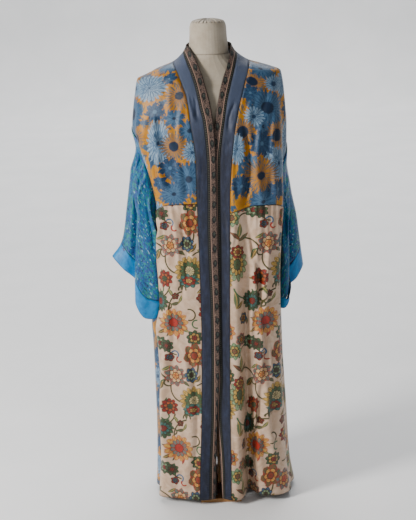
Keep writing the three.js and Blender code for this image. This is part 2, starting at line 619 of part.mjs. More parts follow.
function backPlaces() {
  const top = backTopPlaces();
  const edges = Object.fromEntries(
    ["left", "right"].map((side) => {
      const lower = frontLowerPlaces(side).map((row) => row[row.length - 1]);
      const upper = frontUpperPlaces(side).slice(1).map((row) => row[row.length - 1]);
      return [side, [...lower, ...upper]];
    }),
  );
  const rowCount = LOWER_ROWS + UPPER_ROWS;
  const places = Array.from({ length: rowCount + 1 }, (_, row) =>
    top.map((crown, column) => {
      const share = column / (top.length - 1);
      const rise = Math.max(0, (row - LOWER_ROWS) / UPPER_ROWS);
      const armhole = row > LOWER_ROWS + SIDE_ROWS;
      const right = edges.right[row];
      const left = edges.left[row];
      const start = armhole ? 180 - right.angle : right.angle;
      const end = armhole ? 180 - left.angle : 360 + left.angle;
      if (share === 0) return { angle: start, z: right.z, lift: 0 };
      if (share === 1) return { angle: end, z: left.z, lift: 0 };
      if (row === rowCount) return { ...crown, lift: 0 };
      const edgeWeight = Math.abs(2 * share - 1) ** 8;
      const waistZ = lerp(edges.right[LOWER_ROWS].z, edges.left[LOWER_ROWS].z, share);
      const between = lerp(right.z, left.z, share);
      const z = rise > 0 ? lerp(lerp(waistZ, crown.z, rise), between, edgeWeight) : between;
      return { angle: lerp(start, end, share), z, lift: 0 };
    }),
  );
  return [...places.slice(0, LOWER_ROWS), ...evened(places.slice(LOWER_ROWS))];
}

// ---- Bands ----
// Outer edge, trim seam and free edge of a band, row by row from the hem to the middle of the back neck.
function bandEdges(side) {
  const sign = signOf(side);
  const frontHeights = [
    ...frontLowerPlaces(side).map((row) => row[0].z),
    ...frontUpperPlaces(side).slice(1).map((row) => row[0].z),
  ];
  const front = frontHeights.map((z) => {
    const row = frontBandAt[side](z);
    return {
      outer: { angle: sign * bandSeamAngle(side, z), z },
      seam: { angle: frontAngle(row.seam, row.seamZ), z: row.seamZ, lift: -row.turn / 2 },
      free: { angle: frontAngle(row.free, row.freeZ), z: row.freeZ, lift: -row.turn },
    };
  });
  const neck = NECK_BAND.map((row) => ({
    outer: { angle: sign * row.outer, z: row.outerZ },
    seam: { angle: sign * row.seam, z: row.seamZ, lift: 0 },
    free: { angle: sign * row.free, z: row.freeZ, lift: 0 },
  }));
  return [...front, ...neck];
}

function betweenPlaces(a, b, share) {
  return {
    angle: lerp(a.angle, b.angle, share),
    z: lerp(a.z, b.z, share),
    lift: lerp(a.lift ?? 0, b.lift ?? 0, share),
  };
}

function bandStrip(name, colour, side, from, to) {
  const places = bandEdges(side).map((row) =>
    [0, 0.5, 1].map((share) => betweenPlaces(row[from], row[to], share)),
  );
  return bodyWall(name, colour, places, BAND_WALL);
}

// ---- Sleeves ----
// The armhole, column by column: down the front from the sleeve point and up the back.
function armholeLoop(side) {
  const steps = 2 * (UPPER_ROWS - SIDE_ROWS);
  const edge = (step, back) => {
    const place = outerPlace(side, UPPER_ROWS - step);
    const angle = signOf(side) * (back ? 180 - place.angle : place.angle);
    return { point: bodyPoint(angle, place.z), normal: bodyNormal(angle, place.z) };
  };
  const edges = (back) => Array.from({ length: steps / 2 + 1 }, (_, step) => edge(step, back));
  const ring = [...edges(false), ...edges(true).reverse().slice(1, -1)];
  return ring.flatMap((here, i) => {
    const next = ring[(i + 1) % ring.length];
    return [
      here,
      {
        point: here.point.clone().lerp(next.point, 0.5),
        normal: here.normal.clone().add(next.normal).normalize(),
      },
    ];
  });
}

function stationLoop(side, station) {
  const across = station.inner - station.outer;
  const knots = SLEEVE_PROFILE.map(({ before, beyond, depth, drop }) => {
    const share = lerp(before * station.fold, 1, beyond);
    return new THREE.Vector3(
      station.outer + across * share,
      SLEEVE_CENTRE_Y[side] + depth * (depth < 0 ? station.front : station.back),
      lerp(station.outerZ, station.innerZ, share) - drop * station.drop,
    );
  });
  const curve = new THREE.CatmullRomCurve3(knots, true, "centripetal");
  return SLEEVE_PROFILE.flatMap(({ columns }, k) =>
    Array.from({ length: columns }, (_, step) =>
      curve.getPoint((k + step / columns) / SLEEVE_PROFILE.length),
    ),
  );
}

// The point, moved outwards if need be so that the sleeve hangs outside the body's wall.
function clearOfBody(point) {
  const section = bodyAt(point.z);
  const across = point.x / (point.x < 0 ? section.left : section.right);
  const forward = -point.y / (point.y < 0 ? section.front : section.back);
  const angle = THREE.MathUtils.radToDeg(Math.atan2(across, forward));
  const normal = bodyNormal(angle, point.z);
  const short = SLEEVE_CLEARANCE - point.clone().sub(bodyPoint(angle, point.z)).dot(normal);
  return short > 0 ? point.clone().addScaledVector(normal, short) : point;
}

// Rings from the armhole to the sleeve's hem, along a smooth curve down each column. Where the sleeve
// turns back over the body, its first ring lies on the outside of the body's edge.
function sleeveRings(side) {
  const armhole = armholeLoop(side);
  const loops = [
    armhole.map(({ point }) => point),
    ...SLEEVE_STATIONS[side].map((station) => stationLoop(side, station)),
  ];
  const steps = [...SLEEVE_STEPS, CUFF_STEPS];
  const curves = armhole.map(
    (_, column) => new THREE.CatmullRomCurve3(loops.map((loop) => loop[column]), false, "centripetal"),
  );
  const rings = steps.flatMap((count, span) =>
    Array.from({ length: count }, (_, step) =>
      curves.map((curve) => curve.getPoint((span + step / count) / steps.length)),
    ),
  );
  const clear = [...rings, loops[loops.length - 1]].map((ring, i) =>
    ring.map((point) => (i === 0 ? point : clearOfBody(point))),
  );
  const turns = armhole.map(({ normal }, j) => {
    const around = clear[0][(j + 1) % armhole.length].clone().sub(clear[0].at(j - 1));
    const outward = clear[1][j].clone().sub(clear[0][j]).cross(around).normalize();
    return 1 - Math.max(0, -signOf(side) * outward.dot(normal));
  });
  clear[0] = armhole.map(({ point, normal }, j) =>
    point.clone().addScaledVector(normal, ARMHOLE_LAP * turns[j]),
  );
  return clear;
}

function ringNormals(rings) {
  return rings.map((ring, i) =>
    ring.map((point, j) => {
      const round = ring[(j + 1) % ring.length].clone().sub(ring[(j + ring.length - 1) % ring.length]);
      const below = rings[Math.min(i + 1, rings.length - 1)][j];
      const along = below.clone().sub(rings[Math.max(i - 1, 0)][j]);
      return along.cross(round).normalize();
    }),
  );
}

function sleeveAndCuff(side) {
  const rings = sleeveRings(side);
  const normals = ringNormals(rings);
  const seam = SLEEVE_STEPS.reduce((sum, count) => sum + count, 0);
  const tube = (name, colour, from, to) =>
    clothWall(name, colour, rings.slice(from, to), normals.slice(from, to), SILK_WALL, true);
  return [
    tube("sleeve_" + side, "turquoise", 0, seam + 1),
    tube("cuff_" + side, "cuff", seam, rings.length),
  ];
}

// ---- The dress form and its stand ----
// A closed solid through plan rings, with flat ends.
function loftedSolid(name, colour, rings) {
  const sides = rings[0].length;
  const vertices = rings.flat();
  const triangles = [];
  for (let i = 0; i < rings.length - 1; i += 1) {
    for (let j = 0; j < sides; j += 1) {
      const next = (j + 1) % sides;
      const [a, b] = [i * sides + j, i * sides + next];
      triangles.push([a, b, b + sides], [a, b + sides, a + sides]);
    }
  }
  const centreOf = (ring) =>
    ring.reduce((sum, point) => sum.add(point), new THREE.Vector3()).divideScalar(sides);
  const top = (rings.length - 1) * sides;
  const bottomCentre = vertices.push(centreOf(rings[0])) - 1;
  const topCentre = vertices.push(centreOf(rings[rings.length - 1])) - 1;
  for (let j = 0; j < sides; j += 1) {
    const next = (j + 1) % sides;
    triangles.push([bottomCentre, next, j], [topCentre, top + j, top + next]);
  }
  return meshOf(name, colour, vertices, triangles);
}

function formTorso() {
  const rings = TORSO_SECTIONS.map(({ z, side, front, back, square }) =>
    Array.from({ length: TORSO_SIDES }, (_, j) => {
      const turn = (2 * Math.PI * j) / TORSO_SIDES;
      const sine = Math.sin(turn);
      const cosine = Math.cos(turn);
      const reach = (Math.abs(sine) ** square + Math.abs(cosine) ** square) ** (-1 / square);
      const depth = cosine > 0 ? front : back;
      return new THREE.Vector3(side * reach * sine, -depth * reach * cosine, z);
    }),
  );
  return loftedSolid("form_torso", "jersey", rings);
}

function formNeck() {
  const rings = NECK_PROFILE.map(({ z, radius }, i) =>
    Array.from({ length: NECK_SIDES }, (_, j) => {
      const turn = (2 * Math.PI * j) / NECK_SIDES;
      const height = i === 0 ? z + FACE_GAP : z;
      return new THREE.Vector3(radius * Math.sin(turn), -radius * Math.cos(turn), height);
    }),
  );
  return loftedSolid("form_neck", "jersey", rings);
}

// The gathered cover over the top of the neck: a low dome with radial pleats.
function formNeckCap() {
  const base = NECK_TOP_Z + FACE_GAP;
  const levels = [0, 0.25, 0.5, 0.75, 0.95];
  const rings = levels.map((level) =>
    Array.from({ length: NECK_SIDES }, (_, j) => {
      const turn = (2 * Math.PI * j) / NECK_SIDES;
      const radius = CAP_RADIUS * Math.sqrt(1 - level ** 2);
      const pleat = CAP_GATHER_DEPTH * level * Math.cos(CAP_GATHERS * turn);
      const height = base + CAP_HEIGHT * level + pleat;
      return new THREE.Vector3(radius * Math.sin(turn), -radius * Math.cos(turn), height);
    }),
  );
  return loftedSolid("form_neck_cap", "jersey", rings);
}

function standPole() {
  const bottom = FOOT_THICKNESS + FACE_GAP;
  const length = TORSO_SECTIONS[0].z - FACE_GAP - bottom;
  const geometry = new THREE.CylinderGeometry(POLE_RADIUS, POLE_RADIUS, length, POLE_SIDES);
  geometry.rotateX(Math.PI / 2);
  const mesh = new THREE.Mesh(geometry, new THREE.MeshStandardMaterial(COLOURS.wood));
  mesh.name = "stand_pole";
  mesh.position.z = bottom + length / 2;
  return mesh;
}

// A flat foot: a rail from front to back with a bar across each end.
function standBase() {
  const rail = FOOT_RAIL_WIDTH / 2;
  const bar = FOOT_BAR_DEPTH / 2;
  const [front, back] = [FRONT_BAR, BACK_BAR];
  const rightSide = [
    [front.halfLength, front.y - bar],
    [front.halfLength, front.y + bar],
    [rail, front.y + bar],
    [rail, back.y - bar],
    [back.halfLength, back.y - bar],
    [back.halfLength, back.y + bar],
  ];
  const leftSide = rightSide.map(([x, y]) => [-x, y]).reverse();
  const corners = [...rightSide, ...leftSide].map(([x, y]) => new THREE.Vector2(x, y));
  const outline = new THREE.Shape(corners);
  const geometry = new THREE.ExtrudeGeometry(outline, { depth: FOOT_THICKNESS, bevelEnabled: false });
  const mesh = new THREE.Mesh(geometry, new THREE.MeshStandardMaterial(COLOURS.wood));
  mesh.name = "stand_base";
  return mesh;
}

// ---- The whole ----
function kimono() {
  const garment = new THREE.Group();
  for (const side of ["left", "right"]) {
    garment.add(
      bodyWall("front_upper_" + side, "daisy", frontUpperPlaces(side), SILK_WALL),
      bodyWall("front_lower_" + side, "floral", frontLowerPlaces(side), SILK_WALL),
      bandStrip("neck_band_" + side, "slate", side, "outer", "seam"),
      bandStrip("border_trim_" + side, "border", side, "seam", "free"),
      ...sleeveAndCuff(side),
    );
  }
  garment.add(bodyWall("back_panel", "daisy", backPlaces(), SILK_WALL));
  return garment;
}

function dressForm() {
  const form = new THREE.Group();
  form.add(formTorso(), formNeck(), formNeckCap(), standPole(), standBase());
  return form;
}

const part = new THREE.Group();
part.add(kimono(), dressForm());

export default part;
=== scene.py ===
import math

import bmesh
import bpy
import numpy as np
from mathutils import Matrix, Vector


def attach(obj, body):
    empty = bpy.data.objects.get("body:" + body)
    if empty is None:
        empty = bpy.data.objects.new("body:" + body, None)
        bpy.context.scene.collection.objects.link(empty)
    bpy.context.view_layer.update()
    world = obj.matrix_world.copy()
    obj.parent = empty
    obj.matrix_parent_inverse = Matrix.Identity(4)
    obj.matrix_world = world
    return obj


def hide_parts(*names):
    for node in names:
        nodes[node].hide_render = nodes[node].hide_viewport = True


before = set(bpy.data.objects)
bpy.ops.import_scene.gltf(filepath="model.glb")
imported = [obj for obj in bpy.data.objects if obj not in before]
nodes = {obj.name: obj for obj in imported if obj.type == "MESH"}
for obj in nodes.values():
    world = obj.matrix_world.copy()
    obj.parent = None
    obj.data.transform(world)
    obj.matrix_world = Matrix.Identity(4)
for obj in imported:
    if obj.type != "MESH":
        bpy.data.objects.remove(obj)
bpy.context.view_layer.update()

# ---- Driving sizes, in millimetres as a dressmaker would give them ----
MM = 0.001
SILK_THICKNESS = 0.9
BAND_THICKNESS = 1.5
HEM_Z = 20
NECK_POINT_Z = {"left": 1331, "right": 1329}
SLEEVE_POINT_Z = {"left": 1150, "right": 1091}
UNDERARM_Z = {"left": 955, "right": 905}
ARMHOLE_SPREAD = {"left": 27, "right": 24}
SHOULDER_CORNER_Z = {"left": 1286, "right": 1298}
SHOULDER_CORNER_COLUMN = {"left": 5, "right": 6}
ARMHOLE_ROUNDNESS = 0.4
ARMHOLE_LAP = 1.5
SLEEVE_CLEARANCE = 3
SLEEVE_CLING = 45  # cloth of the sleeve this near the body is drawn nearer to it
SLEEVE_LENGTH = 320
SLEEVE_SEAM_SHARE = 0.75  # of the way from the armhole to the hem, where the cuff is sewn on
CREASE_DEPTH = 2.3  # times the rises in the table of creases
CREASE_BOW = 0.06  # share of its length by which a crease bows
CREASE_TAIL = 0.14  # share of its length over which it dies out at each end
CREASE_TROUGH = 0.35  # depth of the troughs beside it, as a share of its rise
CREASE_TROUGH_PLACE = 2.1  # half widths from its middle to the troughs
CREASE_FADE = 14  # run over which a crease dies out before a seam
BAND_CREASE_SHARE = 0.6  # the doubled band creases less than the single silk
EVENING_PASSES = 400
EVENING_STEP = 0.7
CLOTH_PER_DEGREE = 3
LOWER_ROWS = 14
UPPER_ROWS = 11
SIDE_ROWS = 3
UPPER_COLUMNS = {"left": 12, "right": 14}
LOWER_ROW_CROWDING = 1.5
SIDES = ("left", "right")
SIGN = {"left": -1, "right": 1}

# Plan sections of the body: height, half widths left and right, depths front and back, squareness.
BODY_SECTIONS = [
    (10, 196, 231, 140, 152, 3.0),
    (110, 190, 216, 139, 147, 3.0),
    (280, 186, 209, 136, 141, 3.1),
    (480, 187, 200, 132, 136, 3.3),
    (560, 190, 198, 130, 134, 3.5),
    (620, 169, 197, 129, 132, 3.9),
    (700, 165, 196, 128, 130, 4.2),
    (800, 164, 200, 127, 128, 4.3),
    (920, 164, 208, 126, 126, 4.2),
    (1000, 180, 213, 125, 126, 3.7),
    (1080, 209, 218, 123, 125, 3.1),
    (1150, 226, 219, 119, 122, 2.8),
    (1200, 221, 216, 111, 117, 2.6),
    (1250, 213, 212, 98, 109, 2.5),
    (1286, 205, 207, 82, 97, 2.4),
    (1298, 176, 204, 77, 91, 2.4),
    (1313, 149, 170, 70, 85, 2.3),
    (1330, 103, 113, 65, 80, 2.2),
    (1345, 83, 89, 62, 77, 2.2),
    (1360, 70, 73, 61, 74, 2.1),
    (1377, 63, 65, 61, 72, 2.1),
    (1395, 62, 63, 61, 71, 2.1),
]
# Long folds: angle round from the front, rise and half width, at each of these heights.
FOLD_HEIGHTS = (20, 500, 920, 1240)
FOLD_FADE_Z = 1300
FOLDS = {
    "left front edge": ((-54, -51, -54, -54), (15, 9, 6, 2), (10, 9, 9, 9)),
    "left side valley": ((-70, -66, -72, -70), (-16, -26, -20, 0), (8, 9, 9, 8)),
    "left back strip": ((-90, -88, -92, -92), (6, 5, 0, 0), (12, 12, 12, 12)),
    "left front hollow": ((-38, -36, -34, -34), (-6, -4, -3, 0), (12, 10, 10, 10)),
    "right first ridge": ((15, 17, 18, 19), (8, 10, 7, 0), (6, 5, 5, 5)),
    "right valley": ((23, 25, 25, 27), (-68, -26, -7, 0), (5.5, 5, 5, 5)),
    "right second ridge": ((32, 34, 35, 36), (-9, 4, 4, 0), (8, 7, 7, 7)),
    "right front edge": ((54, 52, 50, 50), (4, 8, 8, 3), (12, 9, 8, 8)),
    "right side valley": ((72, 68, 66, 66), (-10, -14, -15, -5), (10, 9, 9, 9)),
    "right hem wave": ((92, 92, 92, 90), (4, 0, 0, 0), (12, 12, 12, 12)),
    "back flute 1": ((119, 121, 122, 122), (-22, -12, -5, 0), (8, 8, 8, 8)),
    "back flute 2": ((141, 143, 144, 145), (14, 9, 5, 0), (9, 9, 9, 9)),
    "back flute 3": ((163, 164, 165, 166), (-32, -16, -6, 0), (8, 7, 7, 7)),
    "back flute 4": ((188, 187, 186, 186), (14, 8, 4, 0), (9, 9, 9, 9)),
    "back flute 5": ((211, 209, 208, 208), (-24, -13, -5, 0), (8, 7, 7, 7)),
    "back flute 6": ((238, 236, 234, 234), (12, 8, 4, 0), (9, 9, 9, 9)),
}
# The seam between upper and lower fronts, and the side seams.
WAIST_SEAM = {
    "left": [(10, 942), (30, 940), (44, 936), (56, 918), (80, 905)],
    "right": [(10, 909), (22, 923), (32, 932), (42, 931), (54, 918), (66, 892), (95, 878)],
}
SIDE_SEAM = {
    "left": [(10, 70), (500, 67), (800, 73), (905, 83), (955, 90)],
    "right": [(10, 96), (500, 95), (800, 93), (905, 90)],
}
COLUMN_SHARES = {
    "left": [0, 0.08, 0.16, 0.24, 0.32, 0.4, 0.48, 0.55, 0.62, 0.7, 0.79, 0.89, 1],
    "right": [0, 0.07, 0.13, 0.18, 0.23, 0.28, 0.33, 0.38, 0.43, 0.49, 0.56, 0.65, 0.75, 0.87, 1],
}
# Gathers under the waist seam: column, rise and how far down it runs.
GATHERS = {
    "left": [(1, 2.2, 90), (2, 3.2, 150), (3, 2.4, 70), (4, 3.6, 170), (5, 2.4, 80), (6, 3.4, 130),
             (7, 2.6, 90), (8, 2.8, 110)],
    "right": [(3, 2.4, 90), (4, 3.2, 160), (5, 2.4, 80), (6, 3.6, 190), (7, 2.6, 90), (8, 3.4, 150),
              (9, 2.4, 80), (10, 3.2, 130), (11, 2.6, 110), (12, 2.4, 90)],
}
GATHER_WIDTH = 0.3
# The front band: height of its outer edge, then outer edge, seam and its height, free edge and its
# height, and how far the free edge is turned in.
FRONT_BAND = {
    "left": [
        (10, -66, -37, 10, -18, 10, 12),
        (130, -60, -32, 130, -12, 130, 10),
        (300, -51, -22, 300, -4, 300, 1),
        (420, -47, -18, 420, 4, 420, -3.5),
        (600, -43, -15, 600, 10, 600, -3.5),
        (850, -44, -17, 850, 11, 850, -3.5),
        (965, -45, -14, 965, 11, 965, -3.5),
        (1060, -45, -13, 1060, 11, 1060, -3.5),
        (1120, -50, -16, 1122, 10, 1124, -3.5),
        (1170, -57, -21, 1174, 6, 1180, -3),
        (1205, -60, -30, 1215, -1, 1226, -1),
        (1240, -65, -38, 1256, -11, 1266, 0),
        (1272, -76, -48, 1293, -22, 1303, 0),
        (1303, -88, -60, 1325, -36, 1338, 0),
        (1331, -103, -72, 1356, -58, 1374, 0),
    ],
    "right": [
        (10, 31, 12, 10, 4, 10, 16),
        (130, 33, 13, 130, 0, 130, 14),
        (300, 34, 7, 300, -4, 300, 8),
        (420, 36, 14, 420, -7, 420, 4),
        (600, 40, 15, 600, -9, 600, 3.5),
        (850, 46, 20, 850, -8, 850, 3.5),
        (965, 49, 21, 965, -8, 965, 3.5),
        (1060, 56, 24, 1062, -3, 1064, 3.5),
        (1120, 63, 31, 1125, 3, 1132, 3.5),
        (1165, 70, 39, 1174, 14, 1184, 3),
        (1213, 81, 48, 1228, 24, 1240, 1),
        (1250, 91, 60, 1274, 36, 1284, 0),
        (1290, 103, 72, 1316, 52, 1326, 0),
        (1329, 115, 81, 1352, 63, 1372, 0),
    ],
}
# Round the back of the neck: angle and height of the band's outer edge, seam and free edge.
NECK_BAND = [
    (106, 1328, 101, 1357, 98, 1377),
    (123, 1325, 119, 1357, 117, 1380),
    (141, 1322, 138, 1357, 137, 1383),
    (160, 1320, 159, 1357, 159, 1385),
    (180, 1319, 180, 1357, 180, 1386),
]
# Round a sleeve: share before and beyond the standing fold, depth, share of the front lobe's drop, and
# columns to the next point.
SLEEVE_PROFILE = [
    (0, 0, 0.1, 0, 2),
    (0.5, 0, -0.32, 0, 2),
    (1.06, 0, -0.3, 0, 2),
    (1, 0, -0.86, 0.8, 4),
    (1, 0.5, -1, 1, 3),
    (1, 1.07, -0.86, 0.4, 3),
    (1, 1, 0, 0, 4),
    (1, 0.75, 0.85, 0, 5),
    (0.9, 0, 1, 0, 4),
    (0.2, 0, 0.75, 0, 3),
]
# Sleeve stations: outer edge and height, inner edge and height, fold share, drop, depths front and back.
SLEEVE_STATIONS = {
    "left": [
        (-233, 1060, -181, 905, 0.28, 10, 58, 60),
        (-253, 917, -171, 800, 0.36, 22, 68, 62),
        (-275, 803, -175, 672, 0.4, 60, 64, 58),
        (-304, 762, -181, 634, 0.54, 78, 62, 56),
    ],
    "right": [
        (236, 1000, 212, 850, 0.34, 6, 60, 68),
        (245, 905, 208, 765, 0.44, 18, 68, 74),
        (260, 775, 203, 668, 0.6, 62, 70, 74),
        (268, 712, 202, 616, 0.62, 36, 68, 72),
    ],
}
SLEEVE_CENTRE_Y = {"left": -4, "right": 20}


# ---- Smooth curves through tables ----
def knot_slopes(keys, values):
    runs = np.diff(keys)[:, None]
    grades = np.diff(values, axis=0) / runs
    slopes = np.empty_like(values)
    slopes[0], slopes[-1] = grades[0], grades[-1]
    before, after = grades[:-1], grades[1:]
    first = 2 * runs[1:] + runs[:-1]
    second = runs[1:] + 2 * runs[:-1]
    turning = before * after <= 0
    safe_before = np.where(turning, 1, before)
    safe_after = np.where(turning, 1, after)
    slopes[1:-1] = np.where(turning, 0, (first + second) / (first / safe_before + second / safe_after))
    return slopes


def smooth_curve(keys, values):
    """A curve through rows of values at rising keys, without overshoot, held level past both ends."""
    keys = np.asarray(keys, float)
    values = np.asarray(values, float).reshape(len(keys), -1)
    slopes = knot_slopes(keys, values)

    def curve(key):
        at = np.clip(np.asarray(key, float), keys[0], keys[-1])
        i = np.clip(np.searchsorted(keys, at, side="left") - 1, 0, len(keys) - 2)
        run = (keys[i + 1] - keys[i])[..., None]
        t = (at - keys[i])[..., None] / run
        start = (2 * t**3 - 3 * t**2 + 1) * values[i] + (t**3 - 2 * t**2 + t) * run * slopes[i]
        end = (3 * t**2 - 2 * t**3) * values[i + 1] + (t**3 - t**2) * run * slopes[i + 1]
        return start + end

    return curve


def table_curve(rows):
    table = np.array(rows, float)
    return smooth_curve(table[:, 0], table[:, 1:])


def lerp(a, b, share):
    return a + (b - a) * share


def eased(share):
    return share * share * (3 - 2 * share)


# ---- The body surface that all panels and bands are cut from ----
body_at = table_curve(BODY_SECTIONS)
fold_curves = [
    smooth_curve(FOLD_HEIGHTS, np.array([angle, rise, width]).T) for angle, rise, width in FOLDS.values()
]


def fold_rise(angle, z):
    fade = np.clip((z - FOLD_HEIGHTS[-1]) / (FOLD_FADE_Z - FOLD_HEIGHTS[-1]), 0, 1)
    total = np.zeros(np.broadcast(angle, z).shape)
    for curve in fold_curves:
        at = curve(z)
        apart = (angle - at[..., 0] + 540) % 360 - 180
        total += at[..., 1] * np.exp(-((apart / at[..., 2]) ** 2))
    return total * (1 - eased(fade))


def body_point(angle, z, lift=0.0):
    angle, z = np.broadcast_arrays(np.asarray(angle, float), np.asarray(z, float))
    left, right, front, back, power = np.moveaxis(body_at(z), -1, 0)
    sine, cosine = np.sin(np.radians(angle)), np.cos(np.radians(angle))
    reach = (abs(sine) ** power + abs(cosine) ** power) ** (-1 / power)
    half_width = np.where(sine < 0, left, right)
    depth = np.where(cosine > 0, front, back)
    out_x = np.sign(sine) * abs(sine) ** (power - 1) / half_width
    out_y = -np.sign(cosine) * abs(cosine) ** (power - 1) / depth
    out = (fold_rise(angle, z) + lift) / np.hypot(out_x, out_y)
    x = half_width * reach * sine + out * out_x
    y = -depth * reach * cosine + out * out_y
    return np.stack([x, y, z], -1)


def body_normal(angle, z):
    around = body_point(angle + 0.5, z) - body_point(angle - 0.5, z)
    up = body_point(angle, z + 1) - body_point(angle, z - 1)
    return unit(np.cross(around, up))


def unit(vectors):
    return vectors / np.maximum(np.linalg.norm(vectors, axis=-1, keepdims=True), 1e-9)


def front_angle(x, z):
    """The angle at which the section at height z is x wide of the axis, on its front half."""
    left, right, _, _, power = np.moveaxis(body_at(z), -1, 0)
    share = np.clip(x / np.where(np.asarray(x) < 0, left, right), -1, 1)
    rest = (1 - abs(share) ** power) ** (1 / power)
    return np.degrees(np.arctan2(share, rest))


# ---- Seam lines, as in the solids ----
front_band_at = {side: table_curve(FRONT_BAND[side]) for side in SIDES}
waist_at = {side: table_curve(WAIST_SEAM[side]) for side in SIDES}
side_seam_at = {side: table_curve(SIDE_SEAM[side]) for side in SIDES}


def band_seam_angle(side, z):
    return abs(float(front_angle(front_band_at[side](z)[..., 0], z)))


def waist_place(side, share):
    start = band_seam_angle(side, float(waist_at[side](0)[0]))
    z = float(waist_at[side](lerp(start, 90, share))[0])
    angle = 0
    for _ in range(4):
        angle = lerp(start, float(side_seam_at[side](z)[0]), share)
        z = float(waist_at[side](angle)[0])
    return angle, z


def shoulder_z(side, share):
    corner = SHOULDER_CORNER_COLUMN[side] / UPPER_COLUMNS[side]
    if share < corner:
        return lerp(NECK_POINT_Z[side], SHOULDER_CORNER_Z[side], share / corner)
    return lerp(SHOULDER_CORNER_Z[side], SLEEVE_POINT_Z[side], (share - corner) / (1 - corner))


def outer_place(side, row):
    """Up the outer edge of the upper front: the side seam to the underarm, then the armhole."""
    waist_z = waist_place(side, 1)[1]
    if row <= SIDE_ROWS:
        z = lerp(waist_z, UNDERARM_Z[side], row / SIDE_ROWS)
        return float(side_seam_at[side](z)[0]), z
    share = (row - SIDE_ROWS) / (UPPER_ROWS - SIDE_ROWS)
    rounded = lerp(share, (1 - math.cos(math.pi * share)) / 2, ARMHOLE_ROUNDNESS)
    angle = 90 - ARMHOLE_SPREAD[side] * math.sin(math.pi * share)
    return angle, lerp(UNDERARM_Z[side], SLEEVE_POINT_Z[side], rounded)


def evened(places):
    """The same edges, with the rows and columns between them evened out so that none crosses another."""
    grid = places * (CLOTH_PER_DEGREE, 1)
    for _ in range(EVENING_PASSES):
        across = (grid[1:-1, 2:] - grid[1:-1, :-2]) / 2
        up = (grid[2:, 1:-1] - grid[:-2, 1:-1]) / 2
        wide = (across**2).sum(-1, keepdims=True)
        high = (up**2).sum(-1, keepdims=True)
        skew = (across * up).sum(-1, keepdims=True) / 2
        twist = grid[2:, 2:] - grid[2:, :-2] - grid[:-2, 2:] + grid[:-2, :-2]
        even = high * (grid[1:-1, 2:] + grid[1:-1, :-2]) + wide * (grid[2:, 1:-1] + grid[:-2, 1:-1])
        even = (even - skew * twist) / (2 * (wide + high))
        grid = grid.copy()
        grid[1:-1, 1:-1] = lerp(grid[1:-1, 1:-1], even, EVENING_STEP)
    return grid / (CLOTH_PER_DEGREE, 1)


def upper_place(side, row, share, bottom_z):
    outer_angle, outer_z = outer_place(side, row)
    if share == 1:
        return outer_angle, outer_z
    top = shoulder_z(side, share)
    if row == UPPER_ROWS:
        return 90, top
    waist_z = outer_place(side, 0)[1]
    outer_rise = (outer_z - waist_z) / (SLEEVE_POINT_Z[side] - waist_z)
    z = lerp(bottom_z, top, lerp(row / UPPER_ROWS, outer_rise, share**3))
    return lerp(band_seam_angle(side, z), outer_angle, share), z


def front_upper_places(side):
    rows = []
    for row in range(UPPER_ROWS + 1):
        places = []
        for column, share in enumerate(COLUMN_SHARES[side]):
            bottom = waist_place(side, share)
            blended = lerp(share, column / UPPER_COLUMNS[side], row / UPPER_ROWS)
            places.append(bottom if row == 0 else upper_place(side, row, blended, bottom[1]))
        rows.append([(SIGN[side] * angle, z) for angle, z in places])
    return evened(np.array(rows, float))


def front_lower_places(side):
    rows = []
    for row in range(LOWER_ROWS + 1):
        crowded = 1 - (1 - row / LOWER_ROWS) ** LOWER_ROW_CROWDING
        places = []
        for share in COLUMN_SHARES[side]:
            z = lerp(HEM_Z, waist_place(side, share)[1], crowded)
            angle = lerp(band_seam_angle(side, z), float(side_seam_at[side](z)[0]), share)
            places.append((SIGN[side] * angle, z))
        rows.append(places)
    return np.array(rows)


def back_places():
    lower = {side: front_lower_places(side) for side in SIDES}
    upper = {side: front_upper_places(side) for side in SIDES}
    edges = {side: np.vstack([lower[side][:, -1], upper[side][1:, -1]]) for side in SIDES}
    right_top = [(90, z) for z in upper["right"][UPPER_ROWS, ::-1, 1]]
    left_top = [(270, z) for z in upper["left"][UPPER_ROWS, :, 1]]
    neck = [(row[0], row[1]) for row in NECK_BAND]
    mirrored = [(360 - angle, z) for angle, z in neck[-2::-1]]
    top = right_top + neck + mirrored + left_top
    row_count = LOWER_ROWS + UPPER_ROWS
    rows = []
    for row in range(row_count + 1):
        right_angle, right_z = edges["right"][row]
        left_angle, left_z = edges["left"][row]
        armhole = row > LOWER_ROWS + SIDE_ROWS
        start = 180 - right_angle if armhole else right_angle
        end = 180 - left_angle if armhole else 360 + left_angle
        rise = max(0, (row - LOWER_ROWS) / UPPER_ROWS)
        places = []
        for column, (crown_angle, crown_z) in enumerate(top):
            share = column / (len(top) - 1)
            between = lerp(right_z, left_z, share)
            waist_z = lerp(edges["right"][LOWER_ROWS, 1], edges["left"][LOWER_ROWS, 1], share)
            z = lerp(lerp(waist_z, crown_z, rise), between, abs(2 * share - 1) ** 8) if rise > 0 else between
            if share == 0:
                places.append((start, right_z))
            elif share == 1:
                places.append((end, left_z))
            elif row == row_count:
                places.append((crown_angle, crown_z))
            else:
                places.append((lerp(start, end, share), z))
        rows.append(places)
    places = np.array(rows, float)
    return np.vstack([places[:LOWER_ROWS], evened(places[LOWER_ROWS:])])


